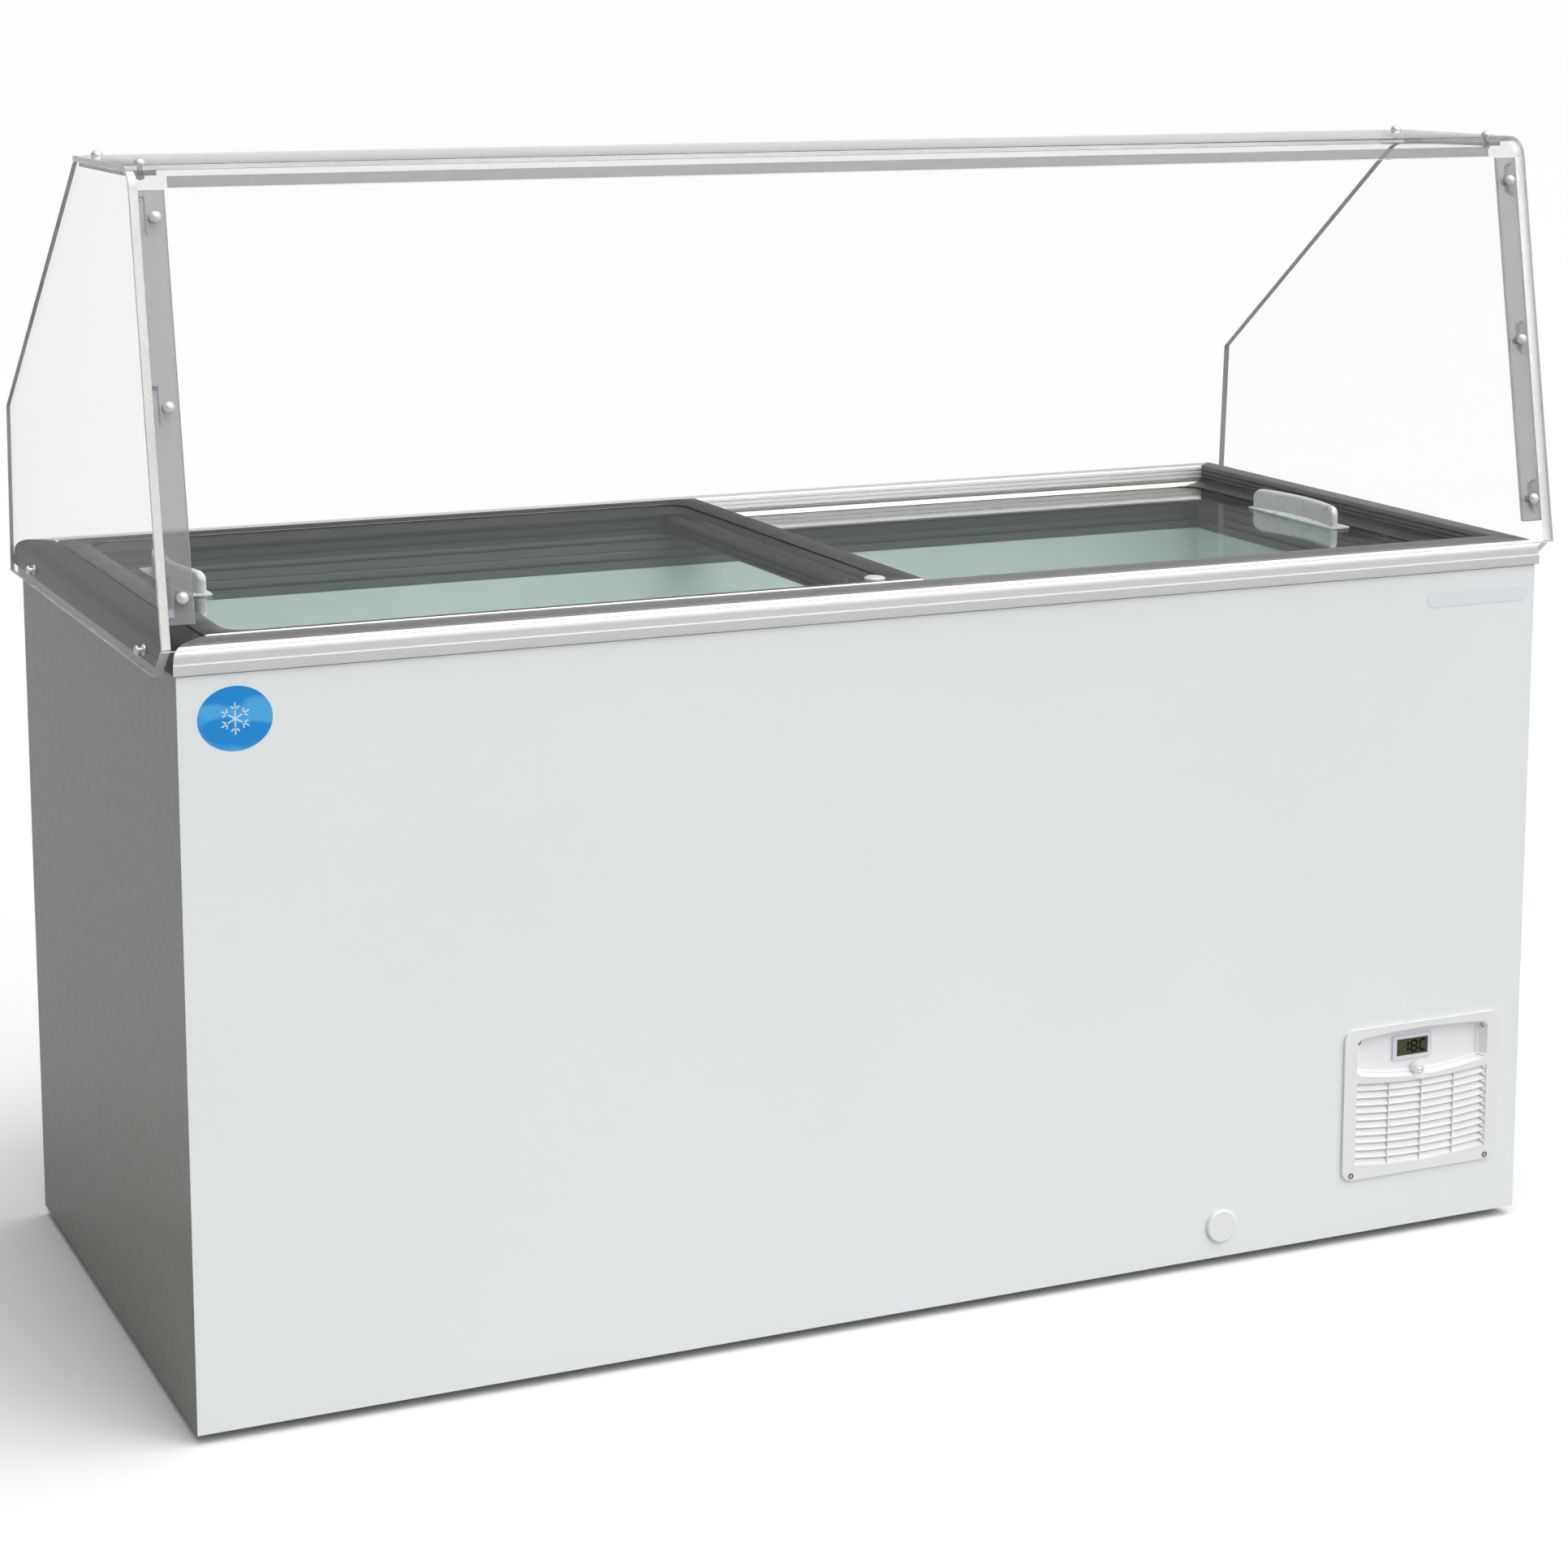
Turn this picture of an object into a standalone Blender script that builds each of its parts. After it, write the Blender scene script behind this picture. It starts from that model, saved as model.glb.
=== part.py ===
"""Ice cream dipping cabinet: insulated chest, two sliding glass lids and a clear serving canopy.

Metres, +Z up, +X to the customer's right, +Y towards the server. The origin is on the floor
under the middle of the cabinet.
"""

import math

import bmesh
import bpy
from mathutils import Matrix, Vector

# ---------------------------------------------------------------- driving dimensions
GAP = 0.0003                    # running gap between neighbouring pieces
FOOT_HEIGHT = 0.010
BODY_HALF_X = 0.750             # outer faces of the casing
BODY_HALF_Y = 0.337
PANEL = 0.0012                  # casing sheet
PANEL_TOP = FOOT_HEIGHT + 0.7285
PAN = 0.0020                    # base sheet
FOOT_INSET = (0.085, 0.075)     # foot centres from the casing's faces

# Top rail: a rounded aluminium frame, mitred at the corners. Depths are counted inwards from
# the rail's outer face, heights from the floor.
RAIL_OVERHANG = 0.0035
RAIL_HALF_X = BODY_HALF_X + RAIL_OVERHANG
RAIL_HALF_Y = BODY_HALF_Y + RAIL_OVERHANG
RAIL_WIDTH = 0.038
RAIL_BOTTOM = PANEL_TOP + 0.0010
RAIL_SHOULDER = PANEL_TOP + 0.0200
RAIL_CROWN = PANEL_TOP + 0.0287
RAIL_INNER = PANEL_TOP + 0.0297
RAIL_ROUND = 0.0130

# Lid track: two ledges, the upper one for the left lid and the lower one for the right lid.
UPPER_LEDGE = PANEL_TOP + 0.0130
LOWER_LEDGE = PANEL_TOP - 0.0105
LEDGE_WIDTH = 0.0068
TRACK_STEP = PANEL_TOP - 0.0280
TRACK_BOTTOM = PANEL_TOP - 0.0485

# Tub
LINER_WALL = 0.0020
LINER_INSET = 0.0545            # tub wall's inner face from the rail's outer face
TUB_FLOOR = 0.085
STEP_FLOOR = 0.345              # floor of the shallow end, over the machine compartment
STEP_X = 0.400
COIL_SPACE = 0.0105
MACHINE_X = 0.4400              # machine compartment's left wall
MACHINE_TOP = 0.3050

# Lids
LID_SIDE_PLAY = 0.0015
LID_OUTER_X = RAIL_HALF_X - RAIL_WIDTH - LID_SIDE_PLAY
UPPER_LID_HALF_Y = RAIL_HALF_Y - RAIL_WIDTH - LID_SIDE_PLAY
LOWER_LID_HALF_Y = UPPER_LID_HALF_Y - LEDGE_WIDTH
LEFT_LID_END = 0.0275           # right-hand edge of the left lid
RIGHT_LID_END = -0.0130         # left-hand edge of the right lid
UPPER_LID_Z = (UPPER_LEDGE + 0.0004, PANEL_TOP + 0.0305)
LOWER_LID_Z = (LOWER_LEDGE + 0.0004, PANEL_TOP + 0.0115)
STILE = 0.0275
LID_BAR = 0.0190
LID_CORNER = 0.0260
GLASS = 0.0040
GLASS_DEPTH = 0.0030            # glass below the frame's top face
GLASS_BITE = 0.0060             # glass held inside the frame's groove

# Handle: a bowed grip plate through the glass, with a flange that sits on the glass
HANDLE_HALF = 0.0860
HANDLE_BOW = 0.0140
HANDLE_THICK = 0.0090
HANDLE_UP = 0.0250
HANDLE_DOWN = 0.0220
HANDLE_X = 0.0560               # grip ends from the lid's outer edge
FLANGE = (0.0270, 0.1800, 0.0022)

# Canopy
END_OUTER = 0.7645
END_THICK = 0.0090
END_INNER = END_OUTER - END_THICK
SHEET = 0.0050
CANOPY_TOP = FOOT_HEIGHT + 1.188
CANOPY_BOTTOM = FOOT_HEIGHT + 0.7545
FRONT_REACH = 0.349             # front sheet's lower edge, from the middle
FRONT_SLOPE = 0.181             # how far the front sheet leans back per metre of height
BEND_RADIUS = 0.0250
SHELF_REAR = -0.0450
END_FOOT = FOOT_HEIGHT + 0.7245
END_REAR_FOOT = 0.3285
END_KNEE = (0.3195, FOOT_HEIGHT + 0.905)
BOLT_HEIGHTS = (FOOT_HEIGHT + 0.802, FOOT_HEIGHT + 0.972, FOOT_HEIGHT + 1.142)
BOLT_X = 0.7425
BOLT_RADIUS = 0.0025
SHELF_BOLT_X = 0.7440
SHELF_BOLT_Y = -0.2320
STRIP = 0.0050
STRIP_WIDTH = 0.0240
STRIP_Z = (FOOT_HEIGHT + 0.7775, FOOT_HEIGHT + 1.1660)
TOP_STRIP_Z = (FOOT_HEIGHT + 1.1675, CANOPY_TOP - 0.0105)
TOP_STRIP_INSET = 0.0060
BLOCK_HALF = 0.0190             # joining block at each bolt, along the strip
BLOCK_SLANT = 0.0060
BLOCK_DEPTH = 0.0090
BLOCK_WIDTH = 0.0065
RAIL_SCREW_Y = (-0.2525, 0.2300)
RAIL_SCREW_Z = FOOT_HEIGHT + 0.7400

# Front grille
GRILLE_X = (0.5205, 0.7225)
GRILLE_Z = (FOOT_HEIGHT + 0.0620, FOOT_HEIGHT + 0.2320)
GRILLE_PROUD = 0.0032
GRILLE_CORNER = 0.0120
GRILLE_RIM = 0.0160
GRILLE_WALL = 0.0063            # plate outside the tray that enters the casing
POCKET_DEPTH = 0.0110
POCKET_BOTTOM = FOOT_HEIGHT + 0.1805
POCKET_DIP = 0.0092             # bottom edge, lower in the middle than at its ends
POCKET_TOP = FOOT_HEIGHT + 0.2205
POCKET_RISE = 0.0045
TRAY_DEPTH = 0.0150
LOUVRE_ROWS = 11
LOUVRE_COLUMNS = 4
LOUVRE_TOP = FOOT_HEIGHT + 0.1680
LOUVRE_BOTTOM = FOOT_HEIGHT + 0.0760
LOUVRE_GAP = 0.42               # share of the pitch that is open
RIB = 0.0016
SCREEN_CENTRE = (0.6135, FOOT_HEIGHT + 0.2015)
BEZEL_SIZE = (0.0505, 0.0270)
BEZEL_PROUD = 0.0022
SCREEN_SIZE = (0.0405, 0.0190)
GAUGE_LIP = 0.0030              # bezel outside the hole for the gauge's body
KNOB_CENTRE = (0.6185, FOOT_HEIGHT + 0.1763)
KNOB_RADIUS = 0.0042
BOSS_RADIUS = 0.0064
DRAIN_CENTRE = (0.3693, FOOT_HEIGHT + 0.0352)
DRAIN_RADIUS = 0.0180

# Machine compartment
FAN_X = 0.6200
FAN_Z = 0.1650
FAN_Y = -0.2150
FAN_RADIUS = 0.0720
BLADES = 5
COMPRESSOR_AT = (0.600, 0.130)
SHROUD_HALF = 0.082
CONDENSER_Y = (-0.295, -0.255)
FINS = 20
COVER_X = (0.465, 0.730)        # rear service cover
COVER_Z = (0.035, 0.285)
COVER_RIM = 0.010
COVER_PROUD = 0.012
COVER_SHEET = 0.0015


# ---------------------------------------------------------------- scene helpers
def clear_scene():
    for obj in list(bpy.data.objects):
        bpy.data.objects.remove(obj, do_unlink=True)


def material(name, colour, roughness, metallic=0.0, alpha=1.0):
    mat = bpy.data.materials.get(name)
    if mat:
        return mat
    mat = bpy.data.materials.new(name)
    mat.use_nodes = True
    shader = mat.node_tree.nodes["Principled BSDF"]
    shader.inputs["Base Color"].default_value = (*colour, 1.0)
    shader.inputs["Roughness"].default_value = roughness
    shader.inputs["Metallic"].default_value = metallic
    shader.inputs["Alpha"].default_value = alpha
    return mat


MATERIALS = {
    "white_paint": ((0.83, 0.86, 0.88), 0.35, 0.0),
    "galvanised": ((0.55, 0.56, 0.57), 0.45, 0.9),
    "foam": ((0.85, 0.78, 0.55), 0.9, 0.0),
    "liner": ((0.72, 0.78, 0.76), 0.4, 0.2),
    "copper": ((0.72, 0.38, 0.22), 0.35, 1.0),
    "aluminium": ((0.72, 0.72, 0.72), 0.35, 0.9),
    "track": ((0.20, 0.22, 0.23), 0.5, 0.0),
    "lid_frame": ((0.25, 0.24, 0.24), 0.4, 0.3),
    "clear": ((0.90, 0.94, 0.93), 0.05, 0.0, 0.35),
    "strip": ((0.55, 0.56, 0.58), 0.15, 0.0, 0.6),
    "handle": ((0.60, 0.61, 0.60), 0.35, 0.0),
    "rubber": ((0.05, 0.05, 0.05), 0.7, 0.0),
    "white_plastic": ((0.82, 0.82, 0.81), 0.4, 0.0),
    "screen": ((0.13, 0.13, 0.06), 0.3, 0.0),
    "steel": ((0.62, 0.61, 0.60), 0.25, 1.0),
    "black_enamel": ((0.02, 0.02, 0.02), 0.3, 0.2),
}


def add_object(name, mesh, slot, smooth=False, parent=None, origin=(0, 0, 0)):
    """Wraps a world-space mesh in an object whose origin is at the given world point."""
    mesh.transform(Matrix.Translation(-Vector(origin)))
    obj = bpy.data.objects.new(name, mesh)
    bpy.context.scene.collection.objects.link(obj)
    mesh.materials.append(material(slot, *MATERIALS[slot]))
    obj.location = Vector(origin)
    if parent:
        obj.parent = parent
        obj.location = Vector(origin) - parent.location
    if smooth:
        mesh.shade_smooth()
        mesh.set_sharp_from_angle(angle=math.radians(35))
    return obj


def add_empty(name, location):
    empty = bpy.data.objects.new(name, None)
    empty.location = location
    bpy.context.scene.collection.objects.link(empty)
    return empty


def finish_mesh(name, bm):
    bmesh.ops.recalc_face_normals(bm, faces=bm.faces[:])
    if bm.calc_volume(signed=True) < 0:
        bmesh.ops.reverse_faces(bm, faces=bm.faces[:])
    mesh = bpy.data.meshes.new(name)
    bm.to_mesh(mesh)
    bm.free()
    return mesh


def prism_mesh(name, outline, axis, low, high):
    """Extrudes a closed outline along an axis. The outline lies in the other two axes, in order."""
    bm = bmesh.new()
    others = [i for i in range(3) if i != axis]
    rings = []
    for level in (low, high):
        ring = []
        for a, b in outline:
            point = [0.0, 0.0, 0.0]
            point[others[0]] = a
            point[others[1]] = b
            point[axis] = level
            ring.append(bm.verts.new(point))
        rings.append(ring)
    bm.faces.new(rings[0])
    bm.faces.new(rings[1])
    count = len(outline)
    for i in range(count):
        j = (i + 1) % count
        bm.faces.new((rings[0][i], rings[0][j], rings[1][j], rings[1][i]))
    return finish_mesh(name, bm)


def box_mesh(name, low, high):
    outline = [(low[0], low[1]), (high[0], low[1]), (high[0], high[1]), (low[0], high[1])]
    return prism_mesh(name, outline, 2, low[2], high[2])


def turned_mesh(name, profile, centre, axis, segments=32):
    """Turns (radius, along) points about an axis. Points of zero radius close the ends."""
    bm = bmesh.new()
    u, v = [i for i in range(3) if i != axis]
    rings = []
    for radius, along in profile:
        ring = []
        for k in range(segments if radius > 1e-7 else 1):
            angle = 2 * math.pi * k / segments
            point = list(centre)
            point[u] += radius * math.cos(angle)
            point[v] += radius * math.sin(angle)
            point[axis] += along
            ring.append(bm.verts.new(point))
        rings.append(ring)
    for first, second in zip(rings, rings[1:]):
        for k in range(segments):
            n = (k + 1) % segments
            if len(first) == 1:
                bm.faces.new((first[0], second[k], second[n]))
            elif len(second) == 1:
                bm.faces.new((first[k], second[0], first[n]))
            else:
                bm.faces.new((first[k], second[k], second[n], first[n]))
    return finish_mesh(name, bm)


def cylinder_mesh(name, centre, axis, radius, low, high, segments=32):
    """A cylinder along an axis, between two distances from its centre point."""
    profile = [(0.0, low), (radius, low), (radius, high), (0.0, high)]
    return turned_mesh(name, profile, centre, axis, segments)


def arc(centre, radius, start, end, steps):
    """Points on a circle between two angles in degrees, both ends included."""
    points = []
    for k in range(steps + 1):
        angle = math.radians(start + (end - start) * k / steps)
        points.append((centre[0] + radius * math.cos(angle), centre[1] + radius * math.sin(angle)))
    return points


def rounded_rectangle(x0, y0, x1, y1, radius, steps=5):
    corners = (
        ((x1 - radius, y0 + radius), -90),
        ((x1 - radius, y1 - radius), 0),
        ((x0 + radius, y1 - radius), 90),
        ((x0 + radius, y0 + radius), 180),
    )
    outline = []
    for centre, start in corners:
        outline += arc(centre, radius, start, start + 90, steps)
    return outline


def fillet(before, corner, after, radius, steps=6):
    """Arc points that round a corner between two straight runs."""
    corner = Vector(corner)
    first = (Vector(before) - corner).normalized()
    second = (Vector(after) - corner).normalized()
    half = first.angle(second) / 2
    centre = corner + (first + second).normalized() * (radius / math.sin(half))
    start = corner + first * (radius / math.tan(half)) - centre
    end = corner + second * (radius / math.tan(half)) - centre
    total = math.pi - 2 * half
    points = []
    for k in range(steps + 1):
        t = k / steps
        blend = start * (math.sin((1 - t) * total)) + end * math.sin(t * total)
        points.append(tuple(centre + blend / math.sin(total)))
    return points


def boolean(obj, mesh, operation="DIFFERENCE"):
    """Cuts or joins a mesh with the object. The other shape stays as a hidden guide."""
    other = bpy.data.objects.new(obj.name + "_guide", mesh)
    bpy.context.scene.collection.objects.link(other)
    other.hide_render = True
    other.display_type = "WIRE"
    modifier = obj.modifiers.new(operation.lower(), "BOOLEAN")
    modifier.operation = operation
    modifier.solver = "EXACT"
    modifier.object = other
    return modifier


# ---------------------------------------------------------------- casing
def build_casing():
    x, y = BODY_HALF_X, BODY_HALF_Y
    low = FOOT_HEIGHT
    front = add_object(
        "front_panel", box_mesh("front_panel", (-x, -y, low), (x, -y + PANEL, PANEL_TOP)), "white_paint"
    )
    inset = GRILLE_WALL - GAP
    vent_low = (GRILLE_X[0] + inset, -y - 0.01, GRILLE_Z[0] + inset)
    vent_high = (GRILLE_X[1] - inset, -y + 0.01, GRILLE_Z[1] - inset)
    boolean(front, box_mesh("vent_hole", vent_low, vent_high))
    plug_point = (DRAIN_CENTRE[0], -y, DRAIN_CENTRE[1])
    boolean(front, cylinder_mesh("plug_hole", plug_point, 1, 0.0115, -0.01, 0.01))
    rear = add_object(
        "rear_panel", box_mesh("rear_panel", (-x, y - PANEL, low), (x, y, PANEL_TOP)), "galvanised"
    )
    rim = COVER_RIM + 0.005
    hole_low = (COVER_X[0] + rim, y - 0.02, COVER_Z[0] + rim)
    hole_high = (COVER_X[1] - rim, y + 0.02, COVER_Z[1] - rim)
    boolean(rear, box_mesh("service_hole", hole_low, hole_high))
    for name, side in (("left_side_panel", -1), ("right_side_panel", 1)):
        inner = x - PANEL
        ends = sorted((side * inner, side * x))
        run = y - PANEL - GAP
        mesh = box_mesh(name, (ends[0], -run, low), (ends[1], run, PANEL_TOP))
        add_object(name, mesh, "white_paint")
    pan_x = x - PANEL - GAP
    pan_y = y - PANEL - GAP
    pan = box_mesh("base_pan", (-pan_x, -pan_y, low), (pan_x, pan_y, low + PAN))
    add_object("base_pan", pan, "galvanised")


def build_feet():
    profile = [(0.0, 0.0), (0.021, 0.0), (0.024, 0.003), (0.022, 0.0097), (0.0, 0.0097)]
    places = {
        "front_left_foot": (-1, -1),
        "front_right_foot": (1, -1),
        "rear_left_foot": (-1, 1),
        "rear_right_foot": (1, 1),
    }
    for name, (sx, sy) in places.items():
        centre = (sx * (BODY_HALF_X - FOOT_INSET[0]), sy * (BODY_HALF_Y - FOOT_INSET[1]), 0.0)
        add_object(name, turned_mesh(name, profile, centre, 2, 24), "rubber", True, origin=centre)


def tub_outline(grow):
    """Side view of the tub, deep on the left and shallow over the machine compartment."""
    half = RAIL_HALF_X - LINER_INSET + grow
    top = TRACK_BOTTOM - GAP
    return [
        (-half, TUB_FLOOR - grow),
        (STEP_X + grow, TUB_FLOOR - grow),
        (STEP_X + grow, STEP_FLOOR - grow),
        (half, STEP_FLOOR - grow),
        (half, top),
        (-half, top),
    ]


def build_tub():
    half_y = RAIL_HALF_Y - LINER_INSET
    outer = prism_mesh(
        "inner_liner", tub_outline(LINER_WALL), 1, -half_y - LINER_WALL, half_y + LINER_WALL
    )
    liner = add_object("inner_liner", outer, "liner")
    inside = [(a, b + (0.05 if b > STEP_FLOOR else 0.0)) for a, b in tub_outline(0.0)]
    boolean(liner, prism_mesh("tub_space", inside, 1, -half_y, half_y))
    floor_point = (DRAIN_CENTRE[0] - 0.03, -0.230, TUB_FLOOR)
    boolean(liner, cylinder_mesh("drain_hole", floor_point, 2, 0.0065, -0.01, 0.01, 20))

    skin_x = BODY_HALF_X - PANEL - GAP
    skin_y = BODY_HALF_Y - PANEL - GAP
    foam_low = FOOT_HEIGHT + PAN + GAP
    foam_mesh = box_mesh("foam", (-skin_x, -skin_y, foam_low), (skin_x, skin_y, PANEL_TOP))
    foam = add_object("foam_insulation", foam_mesh, "foam")
    space = [(a, b + (0.2 if b > STEP_FLOOR else 0.0)) for a, b in tub_outline(LINER_WALL + COIL_SPACE)]
    reach = half_y + LINER_WALL + COIL_SPACE
    boolean(foam, prism_mesh("foam_space", space, 1, -reach, reach))
    collar_x = RAIL_HALF_X - RAIL_WIDTH + 0.0012
    collar_y = RAIL_HALF_Y - RAIL_WIDTH + 0.0012
    collar_low = (-collar_x, -collar_y, TRACK_BOTTOM - 0.02)
    boolean(foam, box_mesh("foam_collar", collar_low, (collar_x, collar_y, PANEL_TOP + 0.02)))
    machine_low = (MACHINE_X, -skin_y - 0.02, foam_low - 0.02)
    boolean(foam, box_mesh("machine_space", machine_low, (skin_x + 0.02, skin_y + 0.02, MACHINE_TOP)))
    lead = (DRAIN_CENTRE[0], -BODY_HALF_Y, DRAIN_CENTRE[1])
    lead_low = (lead[0] - 0.048, lead[1] - 0.01, lead[2] - 0.013)
    lead_high = (lead[0] + 0.014, -0.210, TUB_FLOOR + 0.02)
    boolean(foam, box_mesh("drain_lead", lead_low, lead_high))


def tube_mesh(name, points, radius, segments=8, bore=0.0):
    """A round tube through the points, with mitred rings at its bends."""
    bm = bmesh.new()
    path = [Vector(p) for p in points]
    rings = []
    for i, point in enumerate(path):
        ahead = path[i + 1] - point if i + 1 < len(path) else None
        behind = point - path[i - 1] if i else None
        first = (ahead or behind).normalized()
        second = (behind or ahead).normalized()
        tangent = (first + second).normalized()
        stretch = 1 / max(0.5, tangent.dot(first))
        up = Vector((0, 0, 1)) if abs(tangent.z) < 0.9 else Vector((0, 1, 0))
        side = tangent.cross(up).normalized()
        top = side.cross(tangent).normalized()
        ring = []
        for r in ((radius, bore) if bore else (radius,)):
            loop = []
            for k in range(segments):
                angle = 2 * math.pi * (k + 0.5) / segments
                offset = side * math.cos(angle) * r * stretch + top * math.sin(angle) * r
                loop.append(bm.verts.new(point + offset))
            ring.append(loop)
        rings.append(ring)
    for a, b in zip(rings, rings[1:]):
        for first, second in zip(a, b):
            for k in range(segments):
                n = (k + 1) % segments
                bm.faces.new((first[k], first[n], second[n], second[k]))
    for end in (rings[0], rings[-1]):
        if bore:
            for k in range(segments):
                n = (k + 1) % segments
                bm.faces.new((end[0][k], end[0][n], end[1][n], end[1][k]))
        else:
            bm.faces.new(end[0])
    return finish_mesh(name, bm)


def build_evaporator():
    """Refrigerant tube wound round the outside of the tub, one slightly sloping loop."""
    radius = 0.004
    stand_off = LINER_WALL + COIL_SPACE / 2
    half_x = RAIL_HALF_X - LINER_INSET + stand_off
    half_y = RAIL_HALF_Y - LINER_INSET + stand_off
    turns = 6
    low = 0.400
    high = TRACK_BOTTOM - 0.035
    corner = 0.007
    loop = []
    for centre, start in (
        ((half_x - corner, -half_y + corner), -90),
        ((half_x - corner, half_y - corner), 0),
        ((-half_x + corner, half_y - corner), 90),
        ((-half_x + corner, -half_y + corner), 180),
    ):
        loop += arc(centre, corner, start, start + 90, 3)
    points = []
    total = turns * len(loop)
    for k in range(total):
        a, b = loop[k % len(loop)]
        points.append((a, b, low + (high - low) * k / (total - 1)))
    add_object("evaporator_coil", tube_mesh("evaporator_coil", points, radius, 6), "copper", True)


# ---------------------------------------------------------------- top frame
SIDES = {"front": (0, -1), "rear": (0, 1), "left": (-1, 0), "right": (1, 0)}


def mitred_mesh(name, side, profile):
    """One side of a rectangular frame. The profile holds (depth inwards, height) points."""
    sx, sy = SIDES[side]
    cut = GAP / 2
    bm = bmesh.new()
    rings = []
    for end in (-1, 1):
        ring = []
        for depth, z in profile:
            x = RAIL_HALF_X - depth
            y = RAIL_HALF_Y - depth
            point = (end * (x - cut), sy * y, z) if sy else (sx * x, end * (y - cut), z)
            ring.append(bm.verts.new(point))
        rings.append(ring)
    count = len(profile)
    bm.faces.new(rings[0])
    bm.faces.new(rings[1])
    for i in range(count):
        j = (i + 1) % count
        bm.faces.new((rings[0][i], rings[0][j], rings[1][j], rings[1][i]))
    return finish_mesh(name, bm)


def rail_profile():
    outline = [(0.0, RAIL_BOTTOM), (0.0, RAIL_SHOULDER)]
    rise = RAIL_CROWN - RAIL_SHOULDER
    for k in range(1, 7):
        angle = math.pi / 2 * k / 6
        outline.append((RAIL_ROUND * (1 - math.cos(angle)), RAIL_SHOULDER + rise * math.sin(angle)))
    outline += [
        (RAIL_WIDTH - 0.0015, RAIL_INNER),
        (RAIL_WIDTH, RAIL_INNER - 0.0015),
        (RAIL_WIDTH, RAIL_BOTTOM),
    ]
    return outline


def track_profile(side):
    """The right-hand side has no upper ledge, so that the lower lid reaches the rail."""
    outer = RAIL_WIDTH + GAP
    upper = RAIL_WIDTH + LEDGE_WIDTH
    lower = upper + LEDGE_WIDTH
    if side == "right":
        ledges = [(outer, LOWER_LEDGE)]
    else:
        ledges = [(outer, UPPER_LEDGE), (upper, UPPER_LEDGE), (upper, LOWER_LEDGE)]
    return [
        (outer, TRACK_BOTTOM),
        *ledges,
        (lower, LOWER_LEDGE),
        (lower, TRACK_STEP),
        (lower + 0.0015, TRACK_STEP - 0.0015),
        (lower + 0.0015, TRACK_BOTTOM),
    ]


def build_top_frame():
    for side in SIDES:
        add_object(side + "_rail", mitred_mesh("rail", side, rail_profile()), "aluminium", True)
        add_object(side + "_track", mitred_mesh("track", side, track_profile(side)), "track")


# ---------------------------------------------------------------- lids
def lid_frame(name, x0, x1, y, z_range, parent):
    low, high = z_range
    bm = bmesh.new()
    bmesh.ops.create_cube(bm, size=1.0)
    centre = Vector(((x0 + x1) / 2, 0, (low + high) / 2))
    bmesh.ops.scale(bm, vec=(x1 - x0, 2 * y, high - low), verts=bm.verts)
    bmesh.ops.translate(bm, vec=centre, verts=bm.verts)
    top_edges = [e for e in bm.edges if all(v.co.z > high - 1e-6 for v in e.verts)]
    bmesh.ops.bevel(bm, geom=top_edges, offset=0.0015, segments=1, affect="EDGES")
    frame = add_object(name, finish_mesh(name, bm), "lid_frame", parent=parent)
    opening = rounded_rectangle(x0 + STILE, -y + LID_BAR, x1 - STILE, y - LID_BAR, LID_CORNER)
    boolean(frame, prism_mesh(name + "_opening", opening, 2, low - 0.01, high + 0.01))
    glass_top = high - GLASS_DEPTH
    reach = GLASS_BITE + GAP
    groove = box_mesh(
        name + "_groove",
        (x0 + STILE - reach, -y + LID_BAR - reach, glass_top - GLASS - GAP),
        (x1 - STILE + reach, y - LID_BAR + reach, glass_top + GAP),
    )
    boolean(frame, groove)
    return glass_top


def bowed_plate(name, x_ends, bow, z_low, z_high, half, thick, round_off):
    """An upright plate along Y, bowed in plan, its corners rounded in elevation."""
    bm = bmesh.new()
    steps = 16
    rings = []
    for k in range(steps + 1):
        t = -1 + 2 * k / steps
        y = half * math.sin(t * math.pi / 2)
        from_end = min(round_off, half - abs(y))
        drop = round_off - math.sqrt(round_off**2 - (round_off - from_end) ** 2) if round_off else 0
        x = x_ends + bow * (1 - (y / half) ** 2)
        low, high = z_low + drop, z_high - drop
        corners = ((-1, low), (1, low), (1, high), (-1, high))
        rings.append([bm.verts.new((x + s * thick / 2, y, z)) for s, z in corners])
    for a, b in zip(rings, rings[1:]):
        for i in range(4):
            j = (i + 1) % 4
            bm.faces.new((a[i], a[j], b[j], b[i]))
    bm.faces.new(rings[0])
    bm.faces.new(rings[-1])
    return finish_mesh(name, bm)


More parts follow.
